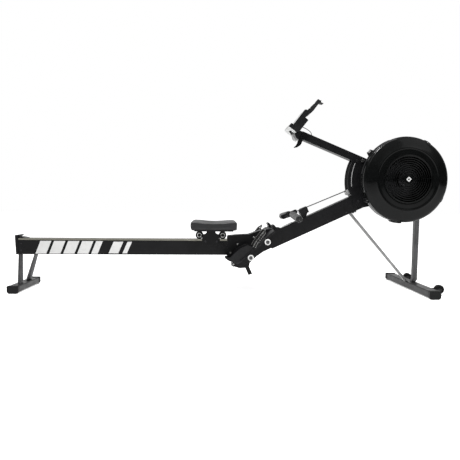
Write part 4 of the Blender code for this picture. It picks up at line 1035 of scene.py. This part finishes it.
# ---- chain and handle ------------------------------------------------------------------------
def build_chain():
    """Roller chain from the fairlead to the handle; it pays out as the handle is pulled."""
    start, end, count = 0.0010, HANDLE_REACH - 0.0345, 64
    pitch = (end - start) / count
    _, forward, below = slant_axes(CHAIN_ANGLE)
    bm = bmesh.new()
    for k in range(count):
        middle = chain_point(start + pitch * (k + 0.5))
        offset = 0.0026 if k % 2 else 0.0017
        for _, side in SIDES:
            rings = []
            for y in (-0.00040, 0.00040):
                outline = []
                for i in range(16):
                    a = 2 * pi * i / 16
                    reach = pitch * 0.5 * (1 if cos(a) > 0 else -1) * (abs(cos(a)) > 0.3)
                    outline.append(middle + forward * (reach + 0.0021 * cos(a))
                                   - below * 0.0029 * sin(a) + ACROSS * (side * offset + y))
                rings.append(outline)
            add_loft(bm, rings)
        joint = chain_point(start + pitch * k)
        for half, radius, segments in ((0.0033, 0.0012, 10), (0.0013, 0.0021, 12)):
            add_pin(bm, joint.x, joint.z, -half, half, radius, segments)
    chain = piece("roller_chain", bm, "chain", None, "steel", ("chain_run",))
    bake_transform(chain)


def build_handle():
    dress("handle_yoke", "matt", 0.0022, 3)
    middle = chain_point(HANDLE_REACH)
    turn = Matrix.Rotation(HANDLE_TURN, 3, "Z")
    for word, side in SIDES:
        start = middle + turn @ Vector((-0.002, side * 0.0150, -0.002))
        outer = middle + turn @ Vector((-GRIP_BACK, side * GRIP_OUTER, -GRIP_DROP))
        axis = (outer - start).normalized()
        inner = start + axis * 0.035
        length = (outer - inner).length
        stations = [(0.0, 0.0125), (0.0, 0.0176), (0.0012, 0.0188), (0.004, 0.0190)]
        count = 34
        for k in range(1, count):
            s = 0.004 + (length - 0.012) * k / count
            stations.append((s, 0.0190 - 0.00035 * (k % 2) + 0.0004 * sin(pi * k / count)))
        stations += [(length - 0.006, 0.0190), (length - 0.0030, 0.0184),
                     (length - 0.0010, 0.0168), (length, 0.0140), (length - 0.0008, 0.0120),
                     (length - 0.0008, 0.0060)]
        cap = [(length - 0.0030, 0.0128), (length - 0.0002, 0.0128), (length + 0.0004, 0.0115),
               (length + 0.0004, 0.0085), (length - 0.0010, 0.0070), (length - 0.0010, 0.0020)]
        collar = [(-0.0080, 0.0130), (-0.0080, 0.0165), (-0.0060, 0.0180), (-0.0012, 0.0180),
                  (-0.0004, 0.0165)]
        for name, profile, look, slot, nodes in (
                ("grip", stations, "grip", "grip_foam", (f"handle_grip_{word}",)),
                ("grip_cap", cap, "bar", "silver_plastic", ()),
                ("grip_collar", collar, "plastic", "black_plastic", ())):
            bm = bmesh.new()
            add_loft(bm, [circle(inner + axis * s, axis, r, 40) for s, r in profile])
            piece(f"{name}_{word}", bm, look, "handle", slot, nodes)

    insert = slanted(FAIRLEAD, CHAIN_ANGLE, [
        (HANDLE_REACH + s, -n) for s, n in ((-0.028, -0.0100), (-0.030, 0.0050), (0.040, 0.0060),
                                            (0.050, -0.0020), (0.046, -0.0105),
                                            (0.012, -0.0115))])
    prism("yoke_inserts", insert, flanks(0.0208, 0.0226), "bar", "handle", "silver_plastic",
          bevel=0.0007)
    bm = bmesh.new()
    eye = chain_point(HANDLE_REACH - 0.0330)
    add_torus(bm, eye, 0.0042, 0.0014, 32, 10)
    add_pin(bm, eye.x, eye.z, -0.0060, 0.0060, 0.0022, 16, 0.0004)
    piece("chain_eye", bm, "steel", "handle", "steel")


# ---- monitor -----------------------------------------------------------------------------------
def behind(points):
    return slanted(MONITOR_REF, MONITOR_ANGLE, [(m, -b) for m, b in points])


def build_monitor():
    dress("monitor_body", "plastic", 0.0016, 3)
    dress("monitor_bracket", "plastic", 0.0010)
    dress("device_holder holder_jaw", "rib", 0.0008)
    prism("screen_glass", behind([(0.0060, -0.0012), (0.1000, -0.0012), (0.1000, 0.0006),
                                  (0.0060, 0.0006)]), [(-0.0700, 0.0700)], "glass", "monitor",
          "black_plastic", bevel=0.0004)
    axes = slant_axes(MONITOR_ANGLE)
    keys = boxes(axes, (0.0088, 0.0046, 0.0012),
                 [along(MONITOR_REF, MONITOR_ANGLE, -0.0140, 0.0160, y)
                  for y in (-0.052, -0.026, 0.0, 0.026, 0.052)])
    piece("monitor_keys", keys, "light", "monitor", "silver_plastic", bevel=0.0009, segments=3)
    posts = boxes(axes, (0.0020, 0.0500, 0.0012),
                  [along(MONITOR_REF, MONITOR_ANGLE, 0.0530, 0.0004, side * 0.0735)
                   for _, side in SIDES])
    edges = boxes(axes, (0.0755, 0.0020, 0.0012),
                  [along(MONITOR_REF, MONITOR_ANGLE, m, 0.0004) for m in (0.0030, 0.1030)], posts)
    piece("screen_frame", edges, "rib", "monitor", "black_plastic", bevel=0.0005)
    bm = bmesh.new()
    for y0, y1, back in ((-0.0790, -0.0268, 0.0370), (-0.0268, 0.0268, 0.0075),
                         (0.0268, 0.0790, 0.0370)):
        add_prism(bm, behind([(-0.0268, -0.0150), (-0.0256, -0.0157), (-0.0240, -0.0157),
                              (-0.0240, back), (-0.0256, back + 0.0008), (-0.0268, back)]),
                  y0, y1)
    piece("monitor_base_plate", bm, "silver", "monitor", "silver_plastic", bevel=0.0005)
    cap = [(-0.2525, -0.0152), (-0.2466, -0.0250), (-0.2376, -0.0357), (-0.2266, -0.0401),
           (-0.2145, -0.0398), (-0.2085, -0.0325), (-0.2257, -0.0278), (-0.2353, -0.0199),
           (-0.2421, -0.0109)]
    prism("arm_end_cap", slanted(ARM_REF, ARM_ANGLE, cap), [(-0.0246, 0.0246)], "light", "arm",
          "silver_plastic", bevel=0.0010)
    pads = boxes(slant_axes(HOLDER_ANGLE), (0.0420, 0.0016, 0.0014),
                 [along(HOLDER_REF, HOLDER_ANGLE, s, 0.0112) for s in (0.0300, 0.0400, 0.0500)])
    piece("holder_pads", pads, "rubber", "holder", "rubber", bevel=0.0005)


# ---- studio ---------------------------------------------------------------------------------
FLOOR_GLOW = 0.55          # keeps the pale floor as light as the backdrop behind it
FLOOR_REACH = 14.0
STRIP_LENGTH = 0.7         # the narrow light that draws the streaks on the fan's shoulder


def build_studio():
    bm = bmesh.new()
    bm.faces.new([bm.verts.new((x * FLOOR_REACH, y * FLOOR_REACH, 0))
                  for x, y in ((-1, -1), (1, -1), (1, 1), (-1, 1))])
    bmesh.ops.subdivide_edges(bm, edges=bm.edges[:], cuts=6, use_grid_fill=True)
    mesh = bpy.data.meshes.new("floor")
    bm.to_mesh(mesh)
    bm.free()
    floor = bpy.data.objects.new("floor", mesh)
    scene.collection.objects.link(floor)
    finish = Finish("studio_floor", roughness=0.8, specular=0.1)
    mottled(finish, (0.90, 0.90, 0.90), 0.995, 1.0, 3.0)
    finish.set("Emission Color", (1.0, 1.0, 1.0, 1.0))
    finish.set("Emission Strength", FLOOR_GLOW)
    mesh.materials.append(finish.material)

    # the backdrop looks white, and lights the machine from behind and above more than in front
    scene.world = bpy.data.worlds.new("studio")
    sky = Nodes(scene.world)
    split = sky.node("ShaderNodeSeparateXYZ")
    sky.link(sky.node("ShaderNodeTexCoord").outputs["Generated"], split.inputs[0])
    backdrop = sky.spread(split.outputs["Y"], 0.06, 0.95, -0.25, 0.60, "SMOOTHSTEP")
    overhead = sky.spread(split.outputs["Z"], 0.035, 0.785, 0.15, 0.80, "SMOOTHSTEP")
    lit = sky.math("MAXIMUM", backdrop, overhead)
    seen = sky.node("ShaderNodeLightPath").outputs["Is Camera Ray"]
    strength = sky.math("ADD", seen, sky.math("MULTIPLY", sky.math("SUBTRACT", 1.0, seen), lit))
    background = sky.tree.nodes["Background"]
    background.inputs["Color"].default_value = (1.0, 1.0, 1.0, 1.0)
    sky.link(strength, background.inputs["Strength"])

    for name, at, aim, size, energy in (        # metres and watts
            ("key", (-1.6, -2.4, 3.4), (0.2, 0.0, 0.4), 1.8, 24.0),
            ("fill", (2.6, -1.8, 2.8), (0.4, 0.0, 0.4), 1.6, 9.0),
            ("strip", (0.05, -0.95, 2.60), (0.90, -0.17, 0.75), 0.10, 70.0),
            ("top", (0.0, 0.3, 4.2), (0.0, 0.0, 0.0), 3.0, 110.0)):
        data = bpy.data.lights.new(name, "AREA")
        data.size = size
        data.energy = energy
        if name == "strip":
            data.shape, data.size_y = "RECTANGLE", STRIP_LENGTH
        light = bpy.data.objects.new(name, data)
        light.location = at
        light.rotation_euler = (Vector(aim) - Vector(at)).to_track_quat("-Z", "Y").to_euler()
        scene.collection.objects.link(light)
    scene.view_settings.view_transform = "Standard"
    scene.view_settings.look = "None"


build_rail()
build_wheels()
build_seat()
for word, side in SIDES:
    build_footrest(word, side)
    build_strap(word, side)
build_junction()
build_frame()
build_fan()
build_chain()
build_handle()
build_monitor()
build_studio()
